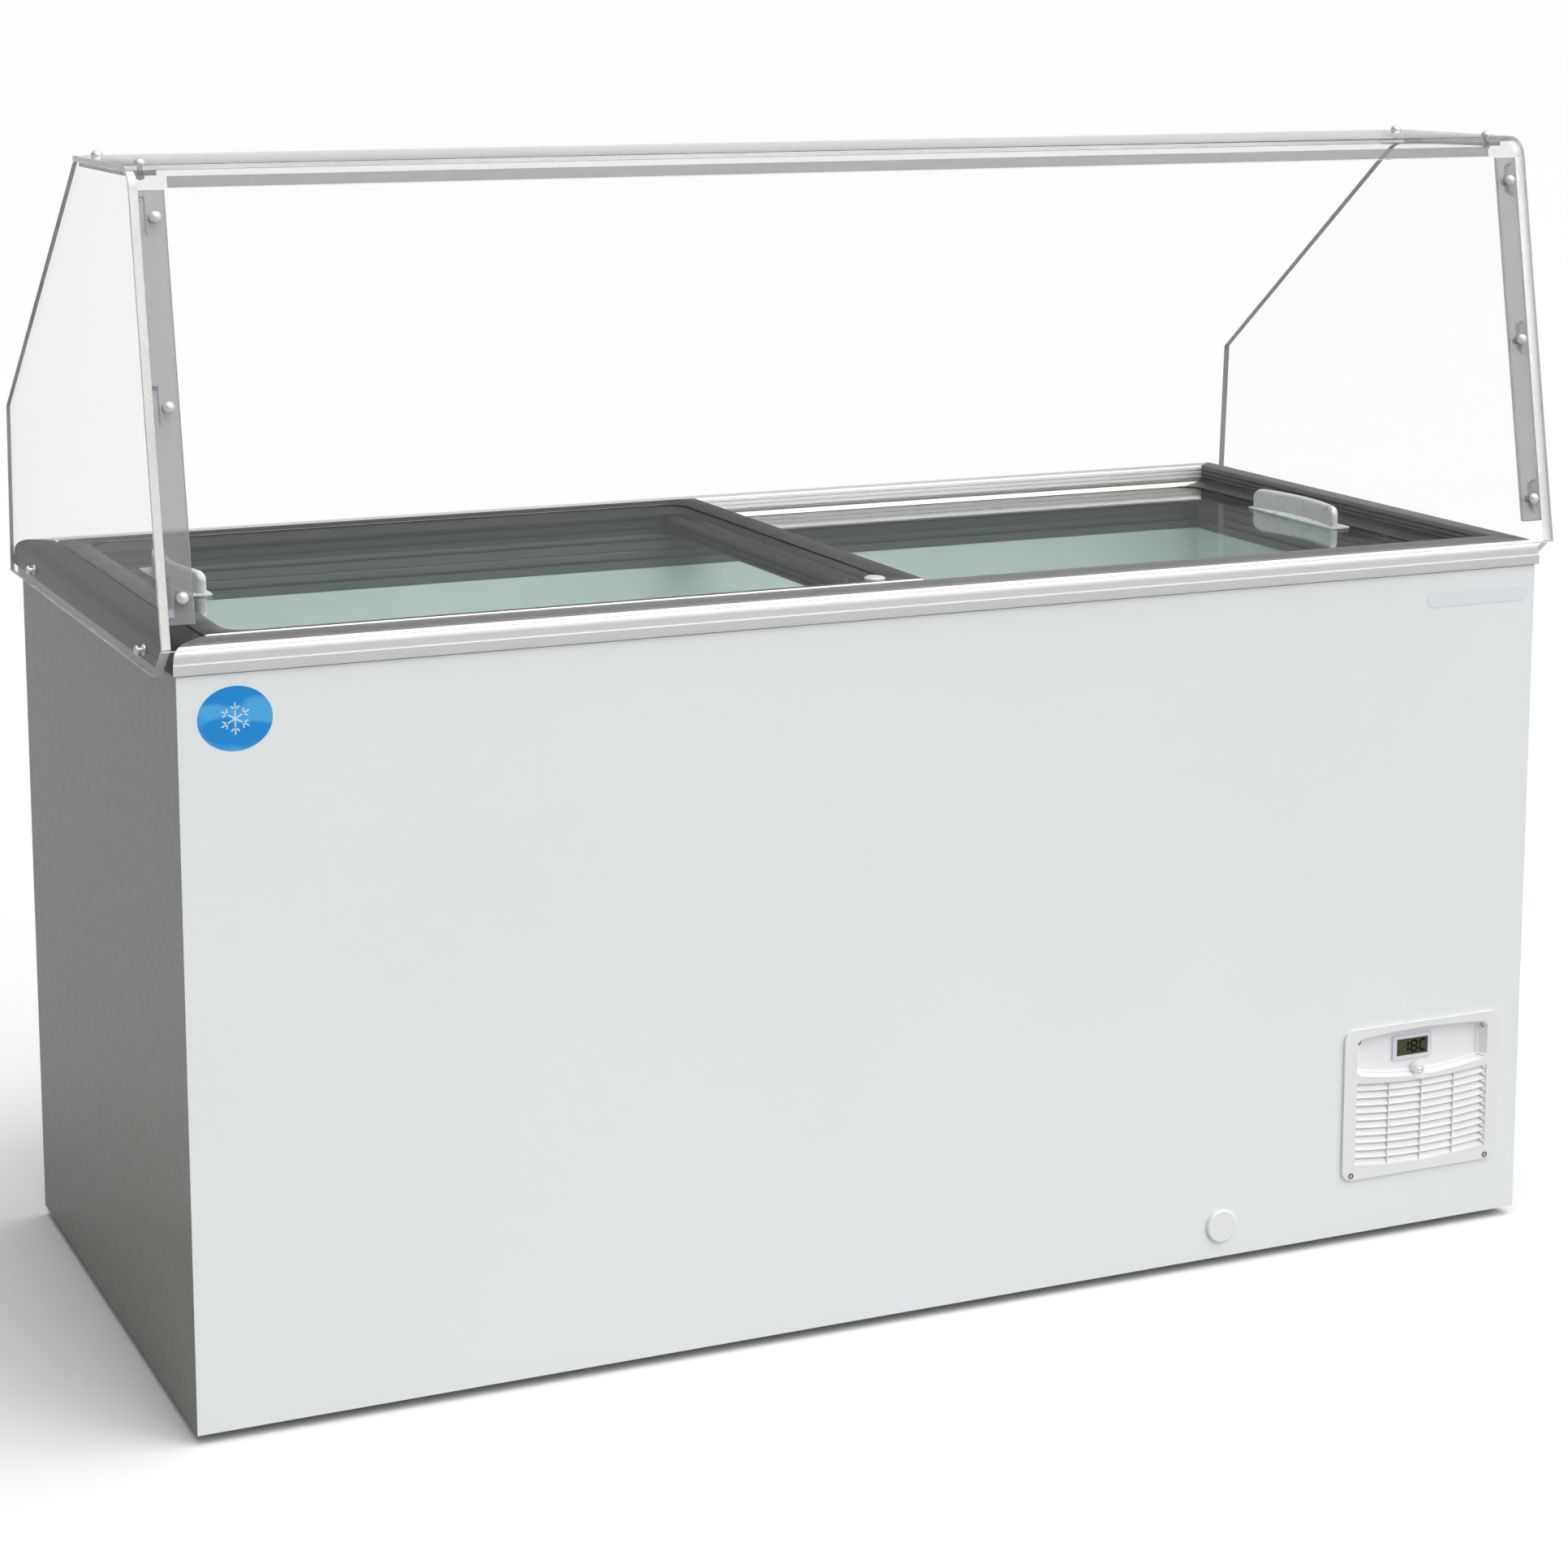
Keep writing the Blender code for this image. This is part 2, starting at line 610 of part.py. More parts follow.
def build_lid(side, x0, x1, half_y, z_range):
    parent = add_empty(side + "_lid_carriage", ((x0 + x1) / 2, 0, z_range[0]))
    outward = -1 if side == "left" else 1
    glass_top = lid_frame(side + "_lid_frame", x0, x1, half_y, z_range, parent)
    glass_low = glass_top - GLASS
    reach = GLASS_BITE
    glass = add_object(
        side + "_lid_glass",
        box_mesh(
            "glass",
            (x0 + STILE - reach, -half_y + LID_BAR - reach, glass_low),
            (x1 - STILE + reach, half_y - LID_BAR + reach, glass_top),
        ),
        "clear",
        parent=parent,
    )
    grip_x = outward * (LID_OUTER_X - HANDLE_X)
    bow = outward * HANDLE_BOW
    slot = bowed_plate(
        "slot", grip_x, bow, glass_low - 0.01, glass_top + 0.01, HANDLE_HALF + GAP, HANDLE_THICK + 2 * GAP, 0
    )
    boolean(glass, slot)
    top = glass_top + GAP
    plate = bowed_plate(
        "grip", grip_x, bow, glass_low - HANDLE_DOWN, glass_top + HANDLE_UP, HANDLE_HALF, HANDLE_THICK, 0.012
    )
    handle = add_object(side + "_lid_handle", plate, "handle", True, parent=parent)
    middle = grip_x + outward * 0.0050
    flange = rounded_rectangle(
        middle - FLANGE[0] / 2, -FLANGE[1] / 2, middle + FLANGE[0] / 2, FLANGE[1] / 2, 0.004, 3
    )
    boolean(handle, prism_mesh("flange", flange, 2, top, top + FLANGE[2]), "UNION")
    return parent


def build_lids():
    left = build_lid("left", -LID_OUTER_X, LEFT_LID_END, UPPER_LID_HALF_Y, UPPER_LID_Z)
    right = build_lid("right", RIGHT_LID_END, LID_OUTER_X, LOWER_LID_HALF_Y, LOWER_LID_Z)
    button = [(0.0, 0.0), (0.0105, 0.0), (0.0105, 0.0022), (0.0085, 0.0036), (0.0, 0.0040)]
    centre = (LEFT_LID_END - 0.0510, -UPPER_LID_HALF_Y + 0.0120, UPPER_LID_Z[1] + GAP)
    bumper = turned_mesh("bumper", button, centre, 2, 24)
    add_object("left_lid_bumper", bumper, "handle", True, left, centre)
    low, high = LOWER_LID_Z
    face = RIGHT_LID_END - GAP
    ribs = 3
    outline = [(face, low + 0.001)]
    height = high - low - 0.002
    for k in range(ribs):
        base = low + 0.001 + height * k / ribs
        outline.append((face - 0.0015, base + 0.0002))
        outline.append((face - 0.0040, base + height / ribs * 0.30))
        outline.append((face - 0.0040, base + height / ribs * 0.62))
        outline.append((face - 0.0015, base + height / ribs * 0.92))
    outline.append((face, high - 0.001))
    run = LOWER_LID_HALF_Y - 0.004
    add_object("right_lid_seal", prism_mesh("seal", outline, 1, -run, run), "rubber", False, right)


# ---------------------------------------------------------------- canopy
def front_point(z, inset=0.0):
    """Point of the sloping front, a distance inside its outer face."""
    y = -FRONT_REACH + FRONT_SLOPE * (z - CANOPY_BOTTOM)
    return (y + inset * math.hypot(1, FRONT_SLOPE), z)


def front_and_top(inset, low, rear):
    """The bent line of the front and the shelf: up the front, round the bend, back to the rear."""
    corner = front_point(CANOPY_TOP - inset, inset)
    start = front_point(low, inset)
    end = (rear, CANOPY_TOP - inset)
    return [start] + fillet(start, corner, end, BEND_RADIUS - inset) + [end]


def sloped_bolt_mesh(name, x, z, profile, segments=20):
    """A turned piece square to the sloping front: positive distances run into the cabinet."""
    mesh = turned_mesh(name, profile, (0, 0, 0), 1, segments)
    mesh.transform(Matrix.Rotation(-math.atan(FRONT_SLOPE), 4, "X"))
    y, height = front_point(z)
    mesh.transform(Matrix.Translation((x, y, height)))
    return mesh


def build_canopy_sheet():
    outer = front_and_top(0.0, CANOPY_BOTTOM, SHELF_REAR)
    inner = front_and_top(SHEET, CANOPY_BOTTOM, SHELF_REAR)
    mesh = prism_mesh("canopy_sheet", outer + inner[::-1], 0, -END_OUTER, END_OUTER)
    sheet = add_object("canopy_sheet", mesh, "clear", True)
    hole = [(0.0, -0.010), (BOLT_RADIUS + GAP, -0.010), (BOLT_RADIUS + GAP, 0.030), (0.0, 0.030)]
    for side in (-1, 1):
        for z in BOLT_HEIGHTS:
            boolean(sheet, sloped_bolt_mesh("bolt_hole", side * BOLT_X, z, hole, 16))
        boolean(sheet, shelf_hole_mesh(side))


def shelf_hole_mesh(side):
    centre = (side * SHELF_BOLT_X, SHELF_BOLT_Y, CANOPY_TOP)
    return cylinder_mesh("shelf_hole", centre, 2, BOLT_RADIUS + GAP, -0.020, 0.010, 16)


def build_canopy_ends():
    inset = SHEET + GAP
    front = front_and_top(inset, CANOPY_BOTTOM + 0.0015, SHELF_REAR - 0.003)
    outline = front + [END_KNEE, (END_REAR_FOOT, END_FOOT), (-0.306, END_FOOT)]
    for name, side in (("canopy_left_end", -1), ("canopy_right_end", 1)):
        ends = sorted((side * END_INNER, side * END_OUTER))
        end = add_object(name, prism_mesh(name, outline, 0, *ends), "clear")
        for y in RAIL_SCREW_Y:
            point = (side * END_INNER, y, RAIL_SCREW_Z)
            boolean(end, cylinder_mesh("rail_screw_hole", point, 0, 0.0028, -0.02, 0.02, 16))


def build_rail_screws():
    """Pan head outside the end panel, shank through it and a spacer against the rail."""
    head = END_THICK + GAP
    spacer_low = RAIL_HALF_X + GAP - END_INNER
    profile = [
        (0.0, spacer_low),
        (0.0055, spacer_low),
        (0.0055, -GAP),
        (0.0024, -GAP),
        (0.0024, head),
        (0.0050, head),
        (0.0048, head + 0.0016),
        (0.0030, head + 0.0028),
        (0.0, head + 0.0031),
    ]
    for label, side in (("left", -1), ("right", 1)):
        for place, y in zip(("front", "rear"), RAIL_SCREW_Y):
            name = f"{label}_{place}_rail_screw"
            centre = (side * END_INNER, y, RAIL_SCREW_Z)
            turned = [(r, side * a) for r, a in profile]
            add_object(name, turned_mesh(name, turned, centre, 0, 20), "steel", True, origin=centre)


def build_canopy_strips():
    """Flat strips behind the sheet's edges, with a joining block at each bolt."""
    near = SHEET + GAP
    far = near + STRIP
    low, high = STRIP_Z
    hole = [(0.0, -0.010), (BOLT_RADIUS + GAP, -0.010), (BOLT_RADIUS + GAP, 0.040), (0.0, 0.040)]
    for label, side in (("left", -1), ("right", 1)):
        outer = side * (END_INNER - GAP)
        ends = sorted((outer, outer - side * STRIP_WIDTH))
        outline = [
            front_point(low, near),
            front_point(high, near),
            front_point(high, far),
            front_point(low, far),
        ]
        name = label + "_corner_strip"
        strip = add_object(name, prism_mesh(name, outline, 0, *ends), "strip")
        for z in BOLT_HEIGHTS:
            short = BLOCK_HALF - BLOCK_SLANT
            block = [
                front_point(z - BLOCK_HALF, far - 0.001),
                front_point(z + BLOCK_HALF, far - 0.001),
                front_point(z + short, far + BLOCK_DEPTH),
                front_point(z - short, far + BLOCK_DEPTH),
            ]
            block_ends = sorted((outer, outer - side * BLOCK_WIDTH))
            boolean(strip, prism_mesh("block", block, 0, *block_ends), "UNION")
            boolean(strip, sloped_bolt_mesh("strip_hole", side * BOLT_X, z, hole, 16))
        name = label + "_shelf_strip"
        ends = sorted((outer, outer - side * STRIP_WIDTH))
        top = CANOPY_TOP - near
        mesh = box_mesh(name, (ends[0], -0.2420, top - STRIP), (ends[1], SHELF_REAR - 0.006, top))
        shelf = add_object(name, mesh, "strip")
        boolean(shelf, shelf_hole_mesh(side))
    run = END_INNER - GAP - 0.0300
    low, high = TOP_STRIP_Z
    near += TOP_STRIP_INSET
    far = near + STRIP
    outline = [
        front_point(low, near),
        front_point(high, near),
        front_point(high, far),
        front_point(low, far),
    ]
    add_object("front_top_strip", prism_mesh("front_top_strip", outline, 0, -run, run), "strip")


def build_canopy_bolts():
    """Dome heads outside the sheet, with a cap nut behind the strip."""
    back = SHEET + STRIP + 2 * GAP
    dome = []
    for k in range(6):
        angle = math.pi / 2 * k / 5
        dome.append((0.0058 * math.sin(angle), -GAP - 0.0052 * math.cos(angle)))
    profile = dome + [
        (BOLT_RADIUS, -GAP),
        (BOLT_RADIUS, back),
        (0.0040, back),
        (0.0040, back + 0.0030),
        (0.0, back + 0.0045),
    ]
    for label, side in (("left", -1), ("right", 1)):
        for place, z in zip(("lower", "middle", "upper"), BOLT_HEIGHTS):
            name = f"{label}_{place}_canopy_bolt"
            mesh = sloped_bolt_mesh(name, side * BOLT_X, z, profile)
            add_object(name, mesh, "steel", True, origin=(side * BOLT_X, *front_point(z)))
        name = label + "_shelf_bolt"
        centre = (side * SHELF_BOLT_X, SHELF_BOLT_Y, CANOPY_TOP)
        upright = [(radius, -along) for radius, along in profile]
        add_object(name, turned_mesh(name, upright, centre, 2, 20), "steel", True, origin=centre)


# ---------------------------------------------------------------- grille, controls and drain
def bowed_line(z, dip, steps=8):
    """Points across the grille's opening, from left to right, on a line that dips in the middle."""
    x0, x1 = GRILLE_X[0] + GRILLE_RIM, GRILLE_X[1] - GRILLE_RIM
    points = []
    for k in range(steps + 1):
        t = k / steps
        points.append((x0 + (x1 - x0) * t, z - dip * (1 - (2 * t - 1) ** 2)))
    return points


def build_grille():
    y = -BODY_HALF_Y
    face = y - GRILLE_PROUD
    outline = rounded_rectangle(GRILLE_X[0], GRILLE_Z[0], GRILLE_X[1], GRILLE_Z[1], GRILLE_CORNER)
    grille = add_object("vent_grille", prism_mesh("grille", outline, 1, face, y - GAP), "white_plastic")
    tray_low = (GRILLE_X[0] + GRILLE_WALL, face + 0.001, GRILLE_Z[0] + GRILLE_WALL)
    tray_high = (GRILLE_X[1] - GRILLE_WALL, face + TRAY_DEPTH, GRILLE_Z[1] - GRILLE_WALL)
    boolean(grille, box_mesh("grille_tray", tray_low, tray_high), "UNION")
    arch = bowed_line(POCKET_TOP, -POCKET_RISE)
    pocket = bowed_line(POCKET_BOTTOM, POCKET_DIP) + arch[::-1]
    floor = face + POCKET_DEPTH
    boolean(grille, prism_mesh("pocket", pocket, 1, face - 0.01, floor))
    pitch = (LOUVRE_TOP - LOUVRE_BOTTOM) / LOUVRE_ROWS
    x0, x1 = GRILLE_X[0] + GRILLE_RIM, GRILLE_X[1] - GRILLE_RIM
    width = (x1 - x0 - (LOUVRE_COLUMNS - 1) * RIB) / LOUVRE_COLUMNS
    for row in range(LOUVRE_ROWS):
        z = LOUVRE_TOP - pitch * row
        low = z - pitch * LOUVRE_GAP
        for column in range(LOUVRE_COLUMNS):
            a = x0 + column * (width + RIB)
            slot = [(a, low), (a + width, low), (a + width, z), (a, z)]
            boolean(grille, prism_mesh("slot", slot, 1, face - 0.01, face + 0.03))
    sx, sz = SCREEN_CENTRE
    half_x, half_z = BEZEL_SIZE[0] / 2 - GAUGE_LIP, BEZEL_SIZE[1] / 2 - GAUGE_LIP
    hole_low = (sx - half_x, floor - 0.005, sz - half_z)
    hole_high = (sx + half_x, floor + 0.020, sz + half_z)
    boolean(grille, box_mesh("gauge_hole", hole_low, hole_high))
    at = (KNOB_CENTRE[0], face, KNOB_CENTRE[1])
    boss = cylinder_mesh("boss", at, 1, BOSS_RADIUS, GAP, TRAY_DEPTH - 0.001, 20)
    boolean(grille, boss, "UNION")
    boolean(grille, cylinder_mesh("knob_hole", at, 1, KNOB_RADIUS + GAP, -0.02, 0.03, 20))


def build_gauge():
    sx, sz = SCREEN_CENTRE
    floor = -BODY_HALF_Y - GRILLE_PROUD + POCKET_DEPTH
    half_x, half_z = BEZEL_SIZE[0] / 2, BEZEL_SIZE[1] / 2
    sw, sh = SCREEN_SIZE[0] / 2, SCREEN_SIZE[1] / 2
    front = floor - BEZEL_PROUD
    bezel = prism_mesh(
        "bezel",
        rounded_rectangle(sx - half_x, sz - half_z, sx + half_x, sz + half_z, 0.0015, 2),
        1,
        front,
        floor - GAP,
    )
    gauge = add_object("thermometer_bezel", bezel, "white_plastic")
    lip = GAUGE_LIP + 0.0005
    body_low = (sx - half_x + lip, front + 0.0010, sz - half_z + lip)
    body_high = (sx + half_x - lip, floor + 0.0120, sz + half_z - lip)
    boolean(gauge, box_mesh("gauge_body", body_low, body_high), "UNION")
    glass_depth = 0.0024
    window = box_mesh("window", (sx - sw, front - 0.01, sz - sh), (sx + sw, front + glass_depth, sz + sh))
    boolean(gauge, window)
    screen_low = (sx - sw + GAP, front + 0.0009, sz - sh + GAP)
    screen_high = (sx + sw - GAP, front + glass_depth - GAP, sz + sh - GAP)
    add_object("thermometer_screen", box_mesh("screen", screen_low, screen_high), "screen")


def build_knob():
    """Thermostat spindle with a driver slot, turned through the grille's boss."""
    kx, kz = KNOB_CENTRE
    centre = (kx, -BODY_HALF_Y - GRILLE_PROUD, kz)
    rim = KNOB_RADIUS - 0.0012
    profile = [(0.0, -0.0006), (rim, -0.0006), (KNOB_RADIUS, 0.0006), (KNOB_RADIUS, 0.0240), (0.0, 0.0240)]
    mesh = turned_mesh("knob", profile, centre, 1, 20)
    knob = add_object("thermostat_knob", mesh, "white_plastic", True, origin=centre)
    slot_low = (kx - 0.0026, centre[1] - 0.005, kz - 0.0006)
    slot_high = (kx + 0.0026, centre[1] + 0.0010, kz + 0.0006)
    boolean(knob, box_mesh("driver_slot", slot_low, slot_high))


def build_drain():
    centre = (DRAIN_CENTRE[0], -BODY_HALF_Y, DRAIN_CENTRE[1])
    profile = [
        (0.0, -0.0042),
        (DRAIN_RADIUS - 0.0015, -0.0042),
        (DRAIN_RADIUS, -0.0028),
        (DRAIN_RADIUS, -GAP),
        (0.0108, -GAP),
        (0.0108, 0.0040),
        (0.0060, 0.0060),
        (0.0060, 0.0180),
        (0.0, 0.0180),
    ]
    plug = turned_mesh("drain_plug", profile, centre, 1, 40)
    add_object("drain_plug", plug, "white_plastic", True, origin=centre)
    rise_x = DRAIN_CENTRE[0] - 0.03
    path = [
        (DRAIN_CENTRE[0], -BODY_HALF_Y + PANEL + 0.0070, DRAIN_CENTRE[1]),
        (DRAIN_CENTRE[0], -0.262, DRAIN_CENTRE[1]),
        (rise_x, -0.230, DRAIN_CENTRE[1] + 0.010),
        (rise_x, -0.230, TUB_FLOOR - LINER_WALL - 0.0006),
    ]
    tube = tube_mesh("drain_tube", path, 0.0088, 12, 0.0066)
    add_object("drain_tube", tube, "white_plastic", True)


# ---------------------------------------------------------------- machine compartment
def build_compressor(floor):
    shell = [(0.0, 0.006), (0.072, 0.006), (0.080, 0.014), (0.080, 0.115)]
    for k in range(1, 6):
        angle = math.pi / 2 * k / 6
        shell.append((0.080 * math.cos(angle), 0.115 + 0.042 * math.sin(angle)))
    shell.append((0.0, 0.157))
    x, y = COMPRESSOR_AT
    centre = (x, y, floor)
    mesh = turned_mesh("compressor", shell, centre, 2, 32)
    compressor = add_object("compressor", mesh, "black_enamel", True, origin=centre)
    plate = rounded_rectangle(x - 0.095, y - 0.080, x + 0.095, y + 0.080, 0.012, 3)
    boolean(compressor, prism_mesh("compressor_feet", plate, 2, floor, floor + 0.0075), "UNION")


def build_condenser():
    """A block of fins with slots between them, open towards the front."""
    x0, x1 = FAN_X - SHROUD_HALF, FAN_X + SHROUD_HALF
    front, back = CONDENSER_Y
    root = back - 0.006
    pitch = (x1 - x0) / FINS
    comb = []
    for k in range(FINS):
        a = x0 + k * pitch
        b = a + pitch * 0.45
        comb += [(a, front), (b, front), (b, root), (a + pitch, root)]
    comb += [(x1, back), (x0, back)]
    mesh = prism_mesh("condenser", comb, 2, FAN_Z - SHROUD_HALF, FAN_Z + SHROUD_HALF)
    add_object("condenser", mesh, "galvanised")


def build_fan(floor):
    x0, x1 = FAN_X - SHROUD_HALF, FAN_X + SHROUD_HALF
    z0, z1 = FAN_Z - SHROUD_HALF, FAN_Z + SHROUD_HALF
    hub = (FAN_X, FAN_Y, FAN_Z)
    outline = rounded_rectangle(x0, z0, x1, z1, 0.008, 2)
    shroud = add_object("fan_shroud", prism_mesh("shroud", outline, 1, -0.250, -0.198), "galvanised")
    boolean(shroud, cylinder_mesh("shroud_hole", hub, 1, FAN_RADIUS + 0.003, -0.05, 0.05, 40))
    foot = box_mesh("shroud_foot", (x0, -0.240, floor), (x1, -0.205, z0 + 0.002))
    boolean(shroud, foot, "UNION")

    motor = [(0.0, 0.022), (0.0050, 0.022), (0.0050, 0.030), (0.034, 0.030), (0.034, 0.085), (0.0, 0.085)]
    mesh = turned_mesh("fan_motor", motor, hub, 1, 28)
    housing = add_object("fan_motor", mesh, "black_enamel", True, origin=hub)
    bracket_low = (FAN_X - 0.030, FAN_Y + 0.050, floor)
    bracket_high = (FAN_X + 0.030, FAN_Y + 0.056, FAN_Z - 0.010)
    boolean(housing, box_mesh("motor_bracket", bracket_low, bracket_high), "UNION")

    middle = [(0.0, -0.012), (0.017, -0.012), (0.019, -0.008), (0.019, 0.0195), (0.0, 0.0195)]
    mesh = turned_mesh("fan_blade", middle, hub, 1, 28)
    blade = add_object("fan_blade", mesh, "black_enamel", True, origin=hub)
    for k in range(BLADES):
        boolean(blade, blade_mesh(k * 360 / BLADES), "UNION")


def blade_mesh(turn):
    """One pitched fan blade, standing out from the hub."""
    bm = bmesh.new()
    rings = []
    for k in range(5):
        radius = 0.012 + (FAN_RADIUS - 0.012) * k / 4
        spread = 0.014 + 0.016 * k / 4
        pitch = math.radians(40 - 16 * k / 4)
        ring = []
        for side, face in ((-1, -1), (1, -1), (1, 1), (-1, 1)):
            across = side * spread * math.cos(pitch) + face * 0.0007 * math.sin(pitch)
            along = side * spread * math.sin(pitch) * 0.55 - face * 0.0007
            ring.append(bm.verts.new((radius, along, across)))
        rings.append(ring)
    for a, b in zip(rings, rings[1:]):
        for i in range(4):
            j = (i + 1) % 4
            bm.faces.new((a[i], a[j], b[j], b[i]))
    bm.faces.new(rings[0])
    bm.faces.new(rings[-1])
    mesh = finish_mesh("blade", bm)
    limit = FAN_RADIUS * 0.995
    for vertex in mesh.vertices:
        reach = math.hypot(vertex.co.x, vertex.co.z)
        if reach > limit:
            vertex.co.x *= limit / reach
            vertex.co.z *= limit / reach
    mesh.transform(Matrix.Rotation(math.radians(turn), 4, "Y"))
    mesh.transform(Matrix.Translation((FAN_X, FAN_Y + 0.003, FAN_Z)))
    return mesh


def build_rear_cover():
    """Louvred steel cover over the machine compartment, standing proud of the rear panel."""
    y = BODY_HALF_Y + GAP
    back = BODY_HALF_Y + COVER_PROUD
    outline = rounded_rectangle(COVER_X[0], COVER_Z[0], COVER_X[1], COVER_Z[1], 0.006, 2)
    cover = add_object("rear_cover", prism_mesh("rear_cover", outline, 1, y, back), "galvanised")
    hollow_low = (COVER_X[0] + COVER_RIM, y - 0.01, COVER_Z[0] + COVER_RIM)
    hollow_high = (COVER_X[1] - COVER_RIM, back - COVER_SHEET, COVER_Z[1] - COVER_RIM)
    boolean(cover, box_mesh("cover_hollow", hollow_low, hollow_high))
    rows = 9
    pitch = 0.0235
    slot = (0.100, 0.006)
    for row in range(rows):
        z = COVER_Z[0] + 0.031 + row * pitch
        for x in (COVER_X[0] + 0.025, COVER_X[0] + 0.140):
            low = (x, y - 0.01, z)
            boolean(cover, box_mesh("cover_slot", low, (x + slot[0], back + 0.01, z + slot[1])))


def main():
    clear_scene()
    build_casing()
    build_feet()
    build_tub()
    build_evaporator()
    build_top_frame()
    build_lids()
    build_canopy_sheet()
    build_canopy_ends()
    build_canopy_strips()
    build_canopy_bolts()
    build_rail_screws()
    build_grille()
    build_gauge()
    build_knob()
    build_drain()
    machine_floor = FOOT_HEIGHT + PAN + GAP
    build_compressor(machine_floor)
    build_condenser()
    build_fan(machine_floor)
    build_rear_cover()


main()
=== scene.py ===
"""The looks of the ice cream dipping cabinet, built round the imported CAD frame.

Metres, +Z up, +X to the customer's right, +Y towards the server.
"""

import math

import bmesh
import bpy
from mathutils import Matrix, Vector


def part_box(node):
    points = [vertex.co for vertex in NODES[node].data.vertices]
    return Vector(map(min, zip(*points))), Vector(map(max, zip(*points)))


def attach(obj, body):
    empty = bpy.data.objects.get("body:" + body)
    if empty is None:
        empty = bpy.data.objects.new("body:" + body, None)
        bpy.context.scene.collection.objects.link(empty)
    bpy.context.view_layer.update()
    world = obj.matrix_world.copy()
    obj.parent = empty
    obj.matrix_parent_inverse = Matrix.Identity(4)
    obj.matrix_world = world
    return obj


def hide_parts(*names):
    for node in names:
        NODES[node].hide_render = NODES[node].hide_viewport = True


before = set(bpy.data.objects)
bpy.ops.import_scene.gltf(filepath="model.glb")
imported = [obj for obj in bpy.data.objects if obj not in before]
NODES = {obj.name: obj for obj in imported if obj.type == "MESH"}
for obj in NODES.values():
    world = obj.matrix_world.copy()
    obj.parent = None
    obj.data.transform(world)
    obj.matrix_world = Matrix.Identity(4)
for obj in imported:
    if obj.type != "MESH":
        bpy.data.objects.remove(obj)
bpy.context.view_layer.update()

# ---------------------------------------------------------------- sizes, from the frame
GAP = 0.0003  # clearance between neighbouring pieces
FLOOR_TO_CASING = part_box("front_panel")[0].z
PANEL_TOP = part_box("front_panel")[1].z
FRONT_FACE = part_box("front_panel")[0].y
RAIL_HALF_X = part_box("front_rail")[1].x
RAIL_HALF_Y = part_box("rear_rail")[1].y
RAIL_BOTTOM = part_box("front_rail")[0].z
RAIL_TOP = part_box("front_rail")[1].z
RAIL_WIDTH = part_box("front_rail")[1].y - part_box("front_rail")[0].y
TRACK_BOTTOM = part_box("front_track")[0].z
UPPER_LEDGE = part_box("front_track")[1].z
LOWER_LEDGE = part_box("right_track")[1].z
LEDGE_WIDTH = 0.0068

GLASS = 0.0040  # thickness of the lids' glass
STILE = 0.0275  # width of a lid frame's end bars
BAR = 0.0190  # width of its front and rear bars

CANOPY_HALF_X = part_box("canopy_sheet")[1].x
END_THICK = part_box("canopy_right_end")[1].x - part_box("canopy_right_end")[0].x
END_INNER = CANOPY_HALF_X - END_THICK
SHEET = 0.0050  # thickness of the canopy sheet
SHEET_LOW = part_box("canopy_sheet")[0].z
SHEET_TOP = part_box("canopy_sheet")[1].z
SHEET_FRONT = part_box("canopy_sheet")[0].y
SHELF_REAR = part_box("canopy_sheet")[1].y
FRONT_SLOPE = 0.181  # run back for each metre of height
BEND_RADIUS = 0.0250
END_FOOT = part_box("canopy_left_end")[0].z
END_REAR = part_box("canopy_left_end")[1].y
END_KNEE = (END_REAR - 0.009, END_FOOT + 0.1805)  # (y, z) where an end panel's rear edge bends
END_FRONT_FOOT = -0.306  # y of its lower front corner

X, Y, Z = 0, 1, 2


# ---------------------------------------------------------------- materials
NOISE_SPAN = (0.3, 0.7)  # nearly all of a noise texture's values lie in here


def new_material(name, colour, roughness, metallic=0.0, **sockets):
    """A Principled material. Other sockets are given by name, with _ for a space."""
    mat = bpy.data.materials.new(name)
    mat.use_nodes = True
    shader = mat.node_tree.nodes["Principled BSDF"]
    shader.inputs["Base Color"].default_value = (*colour, 1.0)
    shader.inputs["Roughness"].default_value = roughness
    shader.inputs["Metallic"].default_value = metallic
    for key, value in sockets.items():
        shader.inputs[key.replace("_", " ")].default_value = value
    return mat


def shader_of(mat):
    return mat.node_tree.nodes["Principled BSDF"]


def texture(mat, kind, scale, stretch):
    """A texture in the piece's own coordinates, per metre, drawn out along an axis by a small stretch."""
    tree = mat.node_tree
    where = tree.nodes.new("ShaderNodeTexCoord")
    mapping = tree.nodes.new("ShaderNodeMapping")
    mapping.inputs["Scale"].default_value = stretch
    node = tree.nodes.new(kind)
    node.inputs["Scale"].default_value = scale
    tree.links.new(where.outputs["Object"], mapping.inputs["Vector"])
    tree.links.new(mapping.outputs["Vector"], node.inputs["Vector"])
    return node


def noise(mat, scale, detail=3.0, stretch=(1, 1, 1)):
    node = texture(mat, "ShaderNodeTexNoise", scale, stretch)
    node.inputs["Detail"].default_value = detail
    return node.outputs["Fac"]


def cells(mat, scale):
    return texture(mat, "ShaderNodeTexVoronoi", scale, (1, 1, 1)).outputs["Color"]


def vary_colour(mat, source, low, high, span=NOISE_SPAN):
    """Base colour running from low to high as the source goes over the span."""
    tree = mat.node_tree
    node = tree.nodes.new("ShaderNodeValToRGB")
    for element, position, colour in zip(node.color_ramp.elements, span, (low, high)):
        element.position = position
        element.color = (*colour, 1.0)
    tree.links.new(source, node.inputs["Fac"])
    tree.links.new(node.outputs["Color"], shader_of(mat).inputs["Base Color"])


